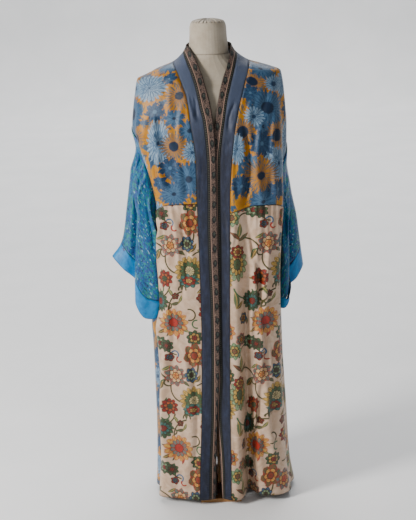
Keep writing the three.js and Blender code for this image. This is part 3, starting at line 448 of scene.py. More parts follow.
def band_edges(side):
    """Rows of (angle, height, lift) for a band's outer edge, trim seam and free edge, hem to back neck."""
    rows = np.array([*front_lower_places(side)[:, 0, 1], *front_upper_places(side)[1:, 0, 1]])
    heights = finer_rows(rows, 8, [LOWER_ROWS])
    outer, seam, seam_z, free, free_z, turn = front_band_at[side](heights).T
    none = np.zeros_like(heights)
    front = np.stack([
        np.stack([front_angle(outer, heights), heights, none], -1),
        np.stack([front_angle(seam, seam_z), seam_z, -turn / 2], -1),
        np.stack([front_angle(free, free_z), free_z, -turn], -1),
    ], 1)
    neck = [[(SIGN[side] * row[k], row[k + 1], 0) for k in (0, 2, 4)] for row in NECK_BAND]
    return np.concatenate([front, finer_rows(np.array([front[-1], *neck], float), 8, [])[1:]])


# ---- Sleeves, as in the solids ----
def catmull_rom(points, at, closed):
    """Centripetal curve through points (knots, ..., 3) at shares from 0 to 1, as (share, ..., 3)."""
    count = len(points)
    spans = count if closed else count - 1
    samples = []
    for share in at:
        place = share * spans
        i = min(int(place), spans - 1)
        t = place - i
        if closed:
            p0, p1, p2, p3 = (points[(i + k) % count] for k in (-1, 0, 1, 2))
        else:
            p1, p2 = points[i], points[i + 1]
            p0 = points[i - 1] if i > 0 else 2 * p1 - p2
            p3 = points[i + 2] if i + 2 < count else 2 * p2 - p1
        pairs = ((p0, p1), (p1, p2), (p2, p3))
        steps = [np.sqrt(np.linalg.norm(b - a, axis=-1, keepdims=True)) for a, b in pairs]
        d1 = np.where(steps[1] < 1e-4, 1.0, steps[1])
        d0 = np.where(steps[0] < 1e-4, d1, steps[0])
        d2 = np.where(steps[2] < 1e-4, d1, steps[2])
        slope1 = ((p1 - p0) / d0 - (p2 - p0) / (d0 + d1) + (p2 - p1) / d1) * d1
        slope2 = ((p2 - p1) / d1 - (p3 - p1) / (d1 + d2) + (p3 - p2) / d2) * d1
        c2 = -3 * p1 + 3 * p2 - 2 * slope1 - slope2
        c3 = 2 * p1 - 2 * p2 + slope1 + slope2
        samples.append(p1 + slope1 * t + c2 * t * t + c3 * t**3)
    return np.array(samples)


def armhole_loop(side, finer):
    """The armhole from the sleeve point down the front and up the back, and the body's normals there."""
    edge = finer_rows(front_upper_places(side)[:, -1], 2 * finer, [])
    front = edge[: SIDE_ROWS * 2 * finer - 1 : -1]
    back = np.stack([SIGN[side] * 180 - front[:, 0], front[:, 1]], -1)
    places = np.concatenate([front, back[-2:0:-1]])
    return body_point(places[:, 0], places[:, 1]), body_normal(places[:, 0], places[:, 1])


def station_loop(side, station, finer):
    outer, outer_z, inner, inner_z, fold, station_drop, front, back = station
    knots = []
    for before, beyond, depth, drop, _ in SLEEVE_PROFILE:
        share = lerp(before * fold, 1, beyond)
        y = SLEEVE_CENTRE_Y[side] + depth * (front if depth < 0 else back)
        knots.append((lerp(outer, inner, share), y, lerp(outer_z, inner_z, share) - drop * station_drop))
    shares = []
    for k, row in enumerate(SLEEVE_PROFILE):
        columns = row[4] * finer
        shares += [(k + step / columns) / len(SLEEVE_PROFILE) for step in range(columns)]
    return catmull_rom(np.array(knots, float), shares, closed=True)


def clear_of_body(points):
    """The points, moved so that the sleeve hangs just outside the body's cloth where it is near it."""
    left, right, front, back, _ = np.moveaxis(body_at(points[..., 2]), -1, 0)
    across = points[..., 0] / np.where(points[..., 0] < 0, left, right)
    forward = -points[..., 1] / np.where(points[..., 1] < 0, front, back)
    angle = np.degrees(np.arctan2(across, forward))
    normal = body_normal(angle, points[..., 2])
    gap = ((points - body_point(angle, points[..., 2])) * normal).sum(-1, keepdims=True)
    spare = np.clip((gap - SLEEVE_CLEARANCE) / SLEEVE_CLING, 0, 1)
    drawn_in = spare * SLEEVE_CLING * (1 - eased(spare))
    return points + normal * (np.maximum(0, SLEEVE_CLEARANCE - gap) - drawn_in)


def sleeve_tube(side, finer, row_shares):
    """Rings of points at shares of the way from the armhole to the sleeve's hem."""
    armhole, normals = armhole_loop(side, finer)
    loops = [armhole] + [station_loop(side, station, finer) for station in SLEEVE_STATIONS[side]]
    rings = catmull_rom(np.array(loops), row_shares, closed=False)
    rings[1:] = clear_of_body(rings[1:])
    if row_shares[0] == 0:
        rings[0] = armhole + normals * ARMHOLE_LAP
    return rings


# ---- Cloth pieces ----
def finer_rows(table, factor, breaks):
    """A table with factor times as many rows along smooth curves, which may kink at the breaks."""
    stops = sorted({0, *breaks, len(table) - 1})
    parts = []
    for start, end in zip(stops, stops[1:]):
        part = table[start : end + 1]
        keys = np.linspace(0, end - start, (end - start) * factor + 1)
        fine = smooth_curve(np.arange(len(part)), part.reshape(len(part), -1))(keys)
        parts.append(fine.reshape(len(keys), *table.shape[1:])[(1 if parts else 0) :])
    return np.concatenate(parts)


def refined(table, rows, columns, row_breaks=(), column_breaks=()):
    """A coarse table of places made finer, rows and columns times as many."""
    fine = finer_rows(table, rows, row_breaks)
    across = finer_rows(np.moveaxis(fine, 1, 0), columns, column_breaks)
    return np.moveaxis(across, 0, 1)


def run_lengths(points, axis):
    steps = np.linalg.norm(np.diff(points, axis=axis), axis=-1)
    start = np.zeros_like(np.take(steps, [0], axis=axis))
    return np.concatenate([start, np.cumsum(steps, axis=axis)], axis=axis)


def grid_normals(points, closed):
    if closed:
        around = np.roll(points, -1, axis=1) - np.roll(points, 1, axis=1)
    else:
        around = np.gradient(points, axis=1)
    return unit(np.cross(around, np.gradient(points, axis=0)))


# Length of cloth round from the middle of the front, at each degree and each 10 mm of height.
CLOTH_ANGLES = np.arange(-180, 541, 1.0)
CLOTH_HEIGHTS = np.arange(0, 1401, 10.0)
cloth_ring = body_point(CLOTH_ANGLES[None, :], CLOTH_HEIGHTS[:, None])
cloth_run = run_lengths(cloth_ring, 1)
CLOTH_RUN = cloth_run - cloth_run[:, 180:181]


def cloth_width_at(angle, z):
    row = np.clip(np.asarray(z) / 10, 0, len(CLOTH_HEIGHTS) - 1.001)
    column = np.clip(np.asarray(angle) + 180, 0, len(CLOTH_ANGLES) - 1.001)
    i, j = row.astype(int), column.astype(int)
    low = lerp(CLOTH_RUN[i, j], CLOTH_RUN[i, j + 1], column - j)
    high = lerp(CLOTH_RUN[i + 1, j], CLOTH_RUN[i + 1, j + 1], column - j)
    return lerp(low, high, row - i)


def crease_rise(u, v, creases):
    """Rise of the listed creases over cloth places: each runs from (u, v) to (u, v) with a rise, a half
    width and a share of its length over which it dies out at both ends."""
    total = np.zeros_like(u)
    for u0, v0, u1, v1, rise, width in creases:
        along = np.array([u1 - u0, v1 - v0], float)
        length = np.hypot(*along)
        t = ((u - u0) * along[0] + (v - v0) * along[1]) / length**2
        across = ((u - u0) * along[1] - (v - v0) * along[0]) / length
        bow = CREASE_BOW * length * np.sin(math.pi * np.clip(t, 0, 1)) * math.copysign(1, rise)
        ends = np.exp(-(np.maximum(0, abs(t - 0.5) - 0.3) / CREASE_TAIL) ** 2)
        half = width * (0.7 + 0.6 * np.clip(t, 0, 1))
        d = (across - bow) / half
        trough = CREASE_TROUGH * np.exp(-((abs(d) - CREASE_TROUGH_PLACE) ** 2))
        total += CREASE_DEPTH * rise * ends * (np.exp(-(d**2)) - trough)
    return total


def new_object(name, data):
    made = bpy.data.objects.new(name, data)
    bpy.context.scene.collection.objects.link(made)
    return made


def grid_object(name, grid, materials):
    """A smooth object made of this grid of faces."""
    mesh = bpy.data.meshes.new(name)
    grid.to_mesh(mesh)
    grid.free()
    for polygon in mesh.polygons:
        polygon.use_smooth = True
    for material in materials:
        mesh.materials.append(material)
    return new_object(name, mesh)


def cloth_piece(name, points, places, thickness, materials, outward, closed=False):
    """A thin shell over a grid of points in millimetres. places is (u, v) of each point on the flat cloth,
    stored as UV in metres; the distances to its four edges are kept for hems and stitching. outward points
    to the side that shows."""
    rows, columns = points.shape[:2]
    inside_out = (grid_normals(points, closed) * outward).sum() < 0
    if closed:
        points = np.concatenate([points, points[:, :1]], axis=1)
        columns += 1
    across, along = run_lengths(points, 1), run_lengths(points, 0)
    edges = np.stack([across, across[:, -1:] - across, along, along[-1:] - along], -1)
    grid = bmesh.new()
    bmesh.ops.create_grid(grid, x_segments=columns - 1, y_segments=rows - 1, size=1)
    uv_layer = grid.loops.layers.uv.new("cloth")
    side_layer = grid.verts.layers.float_vector.new("side_edges")
    end_layer = grid.verts.layers.float_vector.new("end_edges")
    key = {}
    for vert in grid.verts:
        j = round((vert.co.x + 1) / 2 * (columns - 1))
        i = round((vert.co.y + 1) / 2 * (rows - 1))
        key[vert] = (i, j)
    for face in grid.faces:
        for loop in face.loops:
            i, j = key[loop.vert]
            loop[uv_layer].uv = (places[i, j, 0] * MM, places[i, j, 1] * MM)
    for vert, (i, j) in key.items():
        vert.co = points[i, j] * MM
        vert[side_layer] = (edges[i, j, 0] * MM, edges[i, j, 1] * MM, 0)
        vert[end_layer] = (edges[i, j, 2] * MM, edges[i, j, 3] * MM, 0)
    if closed:
        bmesh.ops.remove_doubles(grid, verts=grid.verts, dist=1e-6)
    if inside_out:
        bmesh.ops.reverse_faces(grid, faces=grid.faces)
    grid.normal_update()
    piece = grid_object(name, grid, materials)
    shell = piece.modifiers.new("cloth thickness", "SOLIDIFY")
    shell.thickness = thickness * MM
    shell.offset = 0
    shell.material_offset = len(materials) - 1
    shell.material_offset_rim = 0
    return piece


# ---- Node groups that the cloth materials share ----
DYE_DEPTH = 1.4  # above 1 the dyes are deeper and clearer than as seen in full light
DYE_LIGHT = 0.8


def display(red, green, blue):
    """A colour given as 0 to 255 display values, made linear."""
    shares = [c / 255 for c in (red, green, blue)]
    return (*(((c + 0.055) / 1.055) ** 2.4 if c > 0.04 else c / 12.92 for c in shares), 1)


def dye(red, green, blue):
    """A dye that looks like this in strong light."""
    return (*(DYE_LIGHT * c**DYE_DEPTH for c in display(red, green, blue)[:3]), 1)


class Wire:
    """A node's output. Arithmetic with numbers, tuples and other wires adds maths nodes."""

    def __init__(self, wires, socket):
        self.wires, self.socket = wires, socket

    def joined(self, operation, *values):
        for value in values:
            if isinstance(value, tuple) or isinstance(value, Wire) and value.socket.type == "VECTOR":
                return self.wires.vector(operation, *values)
        return self.wires.math(operation, *values)

    def __add__(self, other):
        return self.joined("ADD", self, other)

    def __radd__(self, other):
        return self.joined("ADD", other, self)

    def __sub__(self, other):
        return self.joined("SUBTRACT", self, other)

    def __rsub__(self, other):
        return self.joined("SUBTRACT", other, self)

    def __mul__(self, other):
        return self.joined("MULTIPLY", self, other)

    def __truediv__(self, other):
        return self.joined("DIVIDE", self, other)

    def __rtruediv__(self, other):
        return self.joined("DIVIDE", other, self)

    def __pow__(self, other):
        return self.joined("POWER", self, other)

    def __abs__(self):
        return self.joined("ABSOLUTE", self)


class Wiring:
    """Adds nodes to a tree: wires are linked, and numbers are set on the node's own sockets."""

    def __init__(self, tree):
        self.tree = tree

    def feed(self, node, values):
        for socket, value in values.items():
            if isinstance(value, Wire):
                self.tree.links.new(value.socket, node.inputs[socket])
            else:
                node.inputs[socket].default_value = value

    def ends(self, node):
        return {socket.name: Wire(self, socket) for socket in node.outputs}

    def node(self, kind, values=(), output=0, **settings):
        """A new node's output, by its number or name, or the node's self if output is None."""
        node = self.tree.nodes.new(kind)
        for setting, value in settings.items():
            setattr(node, setting, value)
        self.feed(node, dict(values))
        return node if output is None else Wire(self, node.outputs[output])

    def math(self, operation, *values, clamp=False):
        return self.node("ShaderNodeMath", dict(enumerate(values)), operation=operation, use_clamp=clamp)

    def vector(self, operation, *values):
        output = "Value" if operation == "LENGTH" else "Vector"
        return self.node("ShaderNodeVectorMath", dict(enumerate(values)), output, operation=operation)

    def split(self, vector):
        return tuple(self.ends(self.node("ShaderNodeSeparateXYZ", {0: vector}, None)).values())

    def join(self, x, y, z=0.0):
        return self.node("ShaderNodeCombineXYZ", {0: x, 1: y, 2: z})

    def mix(self, share, first, second, blend="MIX"):
        values = {0: share, 6: first, 7: second}
        return self.node("ShaderNodeMix", values, 2, data_type="RGBA", blend_type=blend)

    def soft_step(self, value, start, end, low=0.0, high=1.0):
        values = {"Value": value, "From Min": start, "From Max": end, "To Min": low, "To Max": high}
        return self.node("ShaderNodeMapRange", values, interpolation_type="SMOOTHSTEP")

    def noise(self, place, scale, detail=2.0, roughness=0.5, distortion=0.0):
        values = {"Vector": place, "Scale": scale, "Detail": detail, "Roughness": roughness}
        return self.node("ShaderNodeTexNoise", values | {"Distortion": distortion})

    def turn(self, place, angle):
        return self.node("ShaderNodeVectorRotate", {"Vector": place, "Angle": angle}, rotation_type="Z_AXIS")

    def cells(self, place, scale, randomness):
        values = {"Vector": place, "Scale": scale, "Randomness": randomness}
        return self.ends(self.node("ShaderNodeTexVoronoi", values, None))

    def ramp(self, value, stops, between="LINEAR"):
        node = self.node("ShaderNodeValToRGB", {0: value}, None)
        node.color_ramp.interpolation = between
        while len(node.color_ramp.elements) < len(stops):
            node.color_ramp.elements.new(1)
        for element, (position, colour) in zip(node.color_ramp.elements, stops):
            element.position = position
            element.color = colour
        return Wire(self, node.outputs[0])

    def group(self, group, values):
        """The outputs of a node group given these values."""
        node = self.node("ShaderNodeGroup", {}, None, node_tree=group)
        self.feed(node, values)
        return self.ends(node)


def new_group(name, inputs, outputs):
    """A shader node group with named sockets, its wiring, its inputs as wires and its output node."""
    kinds = {"vector": "NodeSocketVector", "value": "NodeSocketFloat", "colour": "NodeSocketColor"}
    group = bpy.data.node_groups.new(name, "ShaderNodeTree")
    for label, kind in inputs:
        group.interface.new_socket(label, in_out="INPUT", socket_type=kinds[kind])
    for label, kind in outputs:
        group.interface.new_socket(label, in_out="OUTPUT", socket_type=kinds[kind])
    wires = Wiring(group)
    given = wires.ends(wires.node("NodeGroupInput", output=None))
    return group, wires, given, wires.node("NodeGroupOutput", output=None)


def wrapped_place(wires, given):
    """Place measured from a motif's centre, in a print that repeats every tile."""
    half = given["Tile"] * (0.5, 0.5, 0.5)
    shifted = given["Place"] - given["Centre"] + half
    return wires.vector("WRAP", shifted, given["Tile"], (0, 0, 0)) - half


PRINT_INPUTS = [("Ground", "colour"), ("Place", "vector"), ("Tile", "vector"), ("Centre", "vector"),
                ("Reach", "vector"), ("Turn", "value")]
PRINT_OUTPUTS = [("Colour", "colour"), ("Cover", "value")]


def printed_flower():
    inputs = PRINT_INPUTS + [("Petals", "value"), ("Fullness", "value"), ("Roundness", "value"),
                             ("Ragged", "value"), ("Disc", "value"), ("Rim", "value"), ("Strength", "value"),
                             ("Petal Colour", "colour"), ("Streak Colour", "colour"),
                             ("Rim Colour", "colour"), ("Disc Colour", "colour")]
    group, w, given, end = new_group("printed flower", inputs, PRINT_OUTPUTS)
    scaled = wrapped_place(w, given) / given["Reach"]
    x, y, _ = w.split(scaled)
    radius = w.vector("LENGTH", w.join(x, y))
    angle = w.math("ARCTAN2", y, x)
    dab = w.noise(given["Place"], 0.16, 2.0, 0.6) - 0.5
    swing = angle * (given["Petals"] * 0.5) + given["Turn"]
    swing = swing + dab * 0.9
    petal = 1.0 - abs(w.math("SINE", swing))
    tip = petal ** given["Roundness"]
    edge = given["Fullness"] + (1.0 - given["Fullness"]) * tip
    edge = edge + dab * given["Ragged"]
    inside = edge - radius
    cover = w.soft_step(inside, -0.02, 0.06) * given["Strength"]
    fine = w.noise(w.join(angle * 5.0, radius * 1.6, given["Disc"]), 3.0, 2.0, 0.6)
    stroke = w.math("ADD", w.soft_step(fine, 0.4, 0.62), w.soft_step(petal, 0.22, 0.02, 0.0, 0.8), clamp=True)
    stroke = stroke * w.soft_step(radius, 1.05, 0.35, 0.5, 1.0)
    petals = w.mix(stroke, given["Petal Colour"], given["Streak Colour"])
    petals = w.mix(w.soft_step(given["Rim"] - inside, -0.03, 0.03), petals, given["Rim Colour"])
    rim = given["Disc"] + dab * 0.12
    disc = w.soft_step(rim - radius, -0.03, 0.05)
    flower = w.mix(disc, petals, given["Disc Colour"])
    w.feed(end, {"Colour": w.mix(cover, given["Ground"], flower), "Cover": cover})
    return group


def printed_leaf():
    inputs = PRINT_INPUTS + [("Leaf Colour", "colour"), ("Vein Colour", "colour"), ("Strength", "value")]
    group, w, given, end = new_group("printed leaf", inputs, PRINT_OUTPUTS)
    x, y, _ = w.split(w.turn(wrapped_place(w, given), given["Turn"]) / given["Reach"])
    bow = y - (x * x - 0.5) * 0.45
    inside = 1.0 - abs(x) ** 1.7 - abs(bow)
    dab = w.noise(given["Place"], 0.2, 2.0, 0.6) - 0.5
    cover = w.soft_step(inside + dab * 0.25, 0.0, 0.14)
    cover = cover * given["Strength"]
    slant = x * 17.0 + abs(bow) * -9.0
    veins = w.soft_step(abs(w.math("SINE", slant)), 0.35, 0.05, 0.0, 0.6)
    rib = w.soft_step(abs(bow), 0.14, 0.03)
    lines = w.math("ADD", veins, rib, clamp=True)
    leaf = w.mix(lines, given["Leaf Colour"], given["Vein Colour"])
    w.feed(end, {"Colour": w.mix(cover, given["Ground"], leaf), "Cover": cover})
    return group


def printed_tendril():
    """Part of a ring, drawn as a stem: Turn is where it starts and Sweep how far round it goes."""
    inputs = PRINT_INPUTS + [("Sweep", "value"), ("Width", "value"), ("Stem Colour", "colour")]
    group, w, given, end = new_group("printed tendril", inputs, PRINT_OUTPUTS)
    x, y, _ = w.split(w.turn(wrapped_place(w, given), given["Turn"]) / given["Reach"])
    angle = w.math("ARCTAN2", y, x)
    radius = w.vector("LENGTH", w.join(x, y))
    drift = 1.0 + angle * 0.05
    off = abs(radius - drift)
    line = w.soft_step(off / given["Width"], 1.3, 0.7)
    part = w.soft_step(given["Sweep"] - abs(angle), 0.0, 0.12)
    cover = line * part
    w.feed(end, {"Colour": w.mix(cover, given["Ground"], given["Stem Colour"]), "Cover": cover})
    return group


def silk_weave():
    """Fine weave with slubs: a height, and how much each thread lightens or darkens the dye."""
    inputs = [("Place", "vector"), ("Thread", "value"), ("Slub", "value"), ("Twill", "value")]
    outputs = [("Height", "value"), ("Shade", "value"), ("Polish", "value")]
    group, w, given, end = new_group("silk weave", inputs, outputs)
    u, v, _ = w.split(given["Place"])
    pitch = math.tau / given["Thread"]
    lean = v * given["Twill"]
    warp = w.math("SINE", (u + lean) * pitch)
    weft = w.math("SINE", v * pitch)
    weave = (warp + weft) * 0.25
    slub = w.noise(w.join(u * 0.04, v * 0.9), 1.0, 3.0, 0.6)
    streak = w.noise(w.join(u * 0.8, v * 0.03), 1.0, 3.0, 0.6)
    uneven = slub + streak - 1.0
    cockle = w.noise(given["Place"], 0.035, 3.0, 0.55)
    height = weave * 0.12 + uneven * given["Slub"]
    height = height + cockle * 0.9
    shade = 1.0 + uneven * given["Slub"]
    shade = shade + weave * 0.1
    polish = (cockle - 0.5) * 0.3
    w.feed(end, {"Height": height, "Shade": shade, "Polish": polish})
    return group


def sewn_edge():
    """The pucker that a seam at a set distance from an edge pulls in the cloth, and painted shade along the
    edge.
    """
    inputs = [("From Edge", "value"), ("Along", "value"), ("Seam", "value")]
    outputs = [("Pucker", "value"), ("Painted Edge Shade", "value")]
    group, w, given, end = new_group("sewn edge", inputs, outputs)
    off = abs(given["From Edge"] - given["Seam"])
    wander = w.noise(w.join(given["Along"] * 0.12, 0.0), 1.0, 2.0, 0.7)
    pull = w.soft_step(off, 9.0, 0.5) * (wander - 0.5)
    dip = w.soft_step(off, 1.6, 0.2)
    pucker = pull * 1.6 - dip * 0.35
    # painted shade: the cloth is darkened within 3 mm of its edge
    painted_edge_shade = w.soft_step(given["From Edge"], 3.0, 0.2)
    w.feed(end, {"Pucker": pucker, "Painted Edge Shade": painted_edge_shade})
    return group


FLOWER, LEAF, TENDRIL = printed_flower(), printed_leaf(), printed_tendril()
WEAVE, SEWN = silk_weave(), sewn_edge()

# ---- Prints ----
# Petal, streak and disc dyes of each kind of daisy, and how strongly it covers the ground.
DAISY_DYES = {
    "light": ((170, 192, 210), (84, 124, 156), (56, 92, 124), 1.0),
    "mid": ((64, 104, 138), (104, 140, 168), (36, 68, 98), 1.0),
    "dark": ((46, 82, 114), (76, 114, 146), (116, 150, 176), 1.0),
    "ghost": ((96, 120, 130), (204, 150, 20), (34, 66, 96), 1.0),
}
DAISY_TILE = (420, 400)
DAISY_SPREAD = 1.12  # times the reach in the table
MANY_PETALS = 1.35  # times the petals of the fuller daisies
# Kind, place across and up, reach across and up, petals, fullness, raggedness, disc.
DAISIES = [
    ("mid", -60, 1150, 30, 30, 11, 0.7, 0.9, 0.2),
    ("mid", 150, 1160, 30, 26, 9, 0.7, 1.0, 0.2),
    ("light", 168, 1085, 24, 24, 9, 0.7, 0.8, 0.2),
    ("mid", 110, 1050, 26, 30, 9, 0.7, 1.0, 0.2),
    ("light", -172, 1297, 52, 46, 17, 0.76, 0.4, 0.08),
    ("ghost", -86, 1251, 42, 40, 17, 0.5, 0.3, 0.28),
    ("dark", -158, 1214, 30, 29, 7, 0.66, 0.9, 0.2),
    ("light", -150, 1120, 34, 66, 19, 0.78, 0.5, 0.1),
    ("mid", -102, 1188, 31, 25, 7, 0.7, 1.0, 0.16),
    ("ghost", -106, 1108, 40, 40, 17, 0.55, 0.3, 0.34),
    ("light", -54, 1089, 28, 28, 13, 0.66, 0.5, 0.16),
    ("dark", -119, 1046, 32, 29, 8, 0.66, 0.9, 0.16),
    ("mid", -66, 1013, 48, 46, 18, 0.74, 0.5, 0.2),
    ("mid", -110, 971, 42, 36, 14, 0.7, 0.6, 0.15),
    ("dark", -151, 1002, 24, 22, 7, 0.66, 0.9, 0.1),
    ("dark", -112, 1311, 20, 19, 7, 0.66, 0.9, 0.1),
    ("ghost", 119, 1293, 40, 32, 17, 0.55, 0.3, 0.38),
    ("light", 185, 1296, 30, 28, 14, 0.68, 0.4, 0.28),
    ("dark", 113, 1257, 28, 27, 7, 0.66, 0.9, 0.14),
    ("mid", 163, 1216, 58, 56, 19, 0.74, 0.45, 0.3),
    ("light", 122, 1188, 29, 28, 13, 0.66, 0.5, 0.2),
    ("ghost", 89, 1144, 36, 38, 17, 0.55, 0.3, 0.42),
    ("ghost", 190, 1134, 36, 40, 17, 0.55, 0.3, 0.44),
    ("dark", 143, 1110, 36, 37, 10, 0.68, 0.8, 0.16),
    ("light", 72, 1096, 22, 42, 14, 0.74, 0.5, 0.1),
    ("light", 195, 1049, 33, 48, 17, 0.74, 0.5, 0.12),
    ("ghost", 140, 1018, 54, 52, 24, 0.5, 0.3, 0.22),
    ("dark", 83, 990, 29, 30, 9, 0.66, 0.9, 0.14),
    ("dark", 192, 974, 30, 28, 9, 0.66, 0.9, 0.14),
    ("mid", 146, 942, 36, 33, 12, 0.7, 0.7, 0.16),
    ("mid", 0, 1180, 48, 46, 17, 0.74, 0.5, 0.24),
    ("light", 14, 1060, 38, 52, 17, 0.76, 0.5, 0.12),
    ("ghost", -8, 970, 42, 42, 17, 0.55, 0.3, 0.36),
    ("dark", 16, 1290, 36, 34, 10, 0.66, 0.9, 0.14),
]
DYES = {
    "red": (182, 66, 44), "orange": (206, 122, 66), "gold": (222, 188, 112), "olive": (104, 98, 60),
    "green": (92, 128, 92), "teal": (92, 150, 142), "blue": (84, 128, 158), "cream": (232, 216, 172),
    "brown": (84, 66, 52), "mint": (166, 188, 152),
}
FLORAL_TILE = (290, 400)
# Place across and up, reach across and up, petals, and the dyes of the outer ring, the inner ring, the
# heart and the petals' edges.
BLOSSOMS = [
    (163, 822, 34, 36, 9, "teal", "cream", "gold", "red"),
    (217, 746, 46, 46, 15, "gold", "green", "cream", "olive"),
    (214, 716, 34, 22, 9, "teal", "red", "gold", "brown"),
    (164, 588, 46, 45, 13, "gold", "teal", "red", "red"),
    (225, 543, 26, 26, 8, "green", "gold", "red", "brown"),
    (118, 922, 30, 24, 9, "green", "mint", "red", "brown"),
    (222, 888, 34, 40, 6, "green", "gold", "olive", "red"),
    (66, 763, 36, 54, 13, "mint", "gold", "green", "olive"),
    (68, 800, 24, 22, 7, "red", "gold", "orange", "brown"),
    (141, 722, 28, 28, 9, "red", "orange", "green", "brown"),
    (119, 651, 32, 34, 13, "green", "teal", "red", "brown"),
    (77, 534, 22, 22, 7, "teal", "mint", "gold", "red"),
    (140, 516, 22, 22, 8, "green", "olive", "red", "brown"),
    (272, 868, 36, 36, 9, "teal", "gold", "orange", "red"),
    (302, 716, 42, 40, 15, "gold", "green", "red", "olive"),
    (268, 618, 32, 32, 9, "red", "gold", "teal", "brown"),
    (212, 826, 22, 26, 7, "blue", "mint", "olive", "brown"),
    (52, 900, 26, 28, 8, "mint", "gold", "red", "green"),
    (88, 596, 18, 20, 6, "blue", "gold", "red", "brown"),
    (248, 664, 16, 16, 5, "red", "orange", "gold", "brown"),
    (172, 670, 12, 12, 5, "red", "orange", "gold", "brown"),
    (148, 880, 15, 15, 5, "red", "blue", "teal", "brown"),
    (318, 560, 30, 30, 9, "gold", "teal", "red", "red"),
    (318, 820, 24, 28, 8, "green", "gold", "red", "brown"),
]
RINGS = ((1.0, 0.74), (0.66, 0.74), (0.36, 0.8))  # share of a blossom's reach and fullness of each ring
# Place across and up, half length, half width, lean, leaf and vein dyes.
LEAVES = [
    (222, 884, 27, 8, 60, "green", "gold"), (234, 900, 24, 8, 110, "olive", "red"),
    (214, 900, 20, 7, 20, "green", "red"), (217, 832, 24, 9, 88, "blue", "cream"),
    (208, 812, 20, 7, 130, "olive", "gold"), (228, 814, 20, 7, 50, "olive", "gold"),
    (127, 735, 18, 6, 70, "olive", "green"), (120, 722, 14, 5, 20, "olive", "gold"),
    (158, 680, 16, 6, 120, "green", "gold"), (73, 860, 26, 9, 80, "green", "gold"),
    (62, 846, 22, 7, 140, "olive", "red"), (86, 842, 22, 7, 35, "green", "red"),
    (60, 656, 26, 10, 95, "green", "gold"), (72, 640, 18, 7, 40, "olive", "gold"),
    (171, 648, 17, 6, 15, "olive", "green"), (186, 660, 15, 5, 65, "green", "gold"),
    (193, 800, 16, 6, 150, "olive", "green"), (136, 846, 16, 6, 30, "green", "gold"),
    (120, 790, 18, 6, 65, "olive", "gold"), (190, 700, 17, 6, 100, "olive", "green"),
    (196, 566, 18, 6, 160, "green", "gold"), (128, 562, 18, 6, 30, "olive", "gold"),
    (100, 590, 17, 6, 110, "green", "red"), (250, 690, 20, 7, 40, "olive", "gold"),
    (300, 640, 20, 7, 120, "green", "gold"), (290, 560, 22, 8, 75, "blue", "cream"),
    (310, 790, 20, 7, 60, "olive", "red"), (252, 800, 18, 6, 140, "green", "gold"),
    (300, 920, 20, 7, 30, "olive", "gold"), (176, 550, 16, 5, 80, "red", "brown"),
]
# Place across and up, radii, where it starts, how far it sweeps, in degrees, and its dye.
STEMS = [
    (190, 860, 42, 52, 20, 55, "olive"), (180, 780, 34, 40, 200, 60, "olive"),
    (150, 770, 44, 34, 120, 55, "green"), (110, 700, 40, 46, 300, 60, "olive"),
    (190, 640, 36, 48, 150, 60, "olive"), (212, 612, 17, 17, 0, 110, "olive"),
    (232, 586, 12, 12, 180, 110, "green"), (100, 800, 36, 44, 60, 60, "olive"),
    (90, 690, 30, 40, 240, 60, "green"), (110, 560, 40, 36, 30, 60, "olive"),
    (180, 522, 40, 30, 210, 55, "olive"), (100, 880, 34, 30, 130, 60, "olive"),
    (260, 760, 44, 44, 80, 60, "olive"), (290, 680, 36, 44, 260, 60, "green"),
    (262, 560, 34, 34, 320, 60, "olive"), (250, 920, 34, 34, 200, 60, "olive"),
    (164, 888, 11, 11, 40, 110, "blue"), (176, 874, 8, 8, 220, 110, "red"),
    (194, 690, 11, 11, 90, 110, "olive"), (126, 690, 10, 10, 300, 110, "green"),
    (140, 800, 11, 11, 200, 110, "olive"), (150, 640, 9, 9, 20, 110, "olive"),
]


class Print:
    """A cloth's printed colour, to which motifs are added one after the other. The place is passed on by
    way of each motif, so that a renderer works out one motif at a time."""

    def __init__(self, wires, place, tile, colour):
        self.wires, self.place, self.tile, self.colour = wires, place, (*tile, 1000), colour

    def add(self, motif, u, v, reach_u, reach_v, turn, values):
        sockets = {"Ground": self.colour, "Place": self.place, "Tile": self.tile, "Centre": (u, v, 0),
                   "Reach": (reach_u, reach_v, 1), "Turn": turn}
        made = self.wires.group(motif, sockets | values)
        self.colour = made["Colour"]
        self.place = self.wires.vector("MULTIPLY_ADD", made["Cover"], (1e-4, 1e-4, 0), self.place)


def daisy_print(wires, place):
    swirl = wires.noise(place * (1, 0.75, 1), 0.02, 4.0, 0.62, 0.6)
    streak = wires.noise(place * (0.2, 0.03, 1), 1.0, 3.0, 0.6)
    blot = swirl + (streak - 0.5) * 0.16
    colour = wires.ramp(blot, [
        (0.3, dye(52, 90, 124)), (0.41, dye(84, 122, 150)), (0.435, dye(150, 128, 64)),
        (0.45, dye(214, 162, 0)), (0.56, dye(200, 146, 0)), (0.58, dye(140, 128, 92)),
        (0.61, dye(66, 104, 138)),
    ])
    silk = Print(wires, place, DAISY_TILE, colour)
    for index, (kind, u, v, reach_u, reach_v, petals, fullness, ragged, disc) in enumerate(DAISIES):
        petal, streaks, middle, strength = DAISY_DYES[kind]
        silk.add(FLOWER, u, v, DAISY_SPREAD * reach_u, DAISY_SPREAD * reach_v, index * 0.7, {
            "Petals": round(MANY_PETALS * petals) if petals > 12 else petals, "Fullness": fullness,
            "Roundness": 0.4, "Ragged": ragged, "Disc": disc, "Rim": -1.0, "Strength": strength,
            "Petal Colour": dye(*petal), "Streak Colour": dye(*streaks), "Disc Colour": dye(*middle)})
    return silk.colour


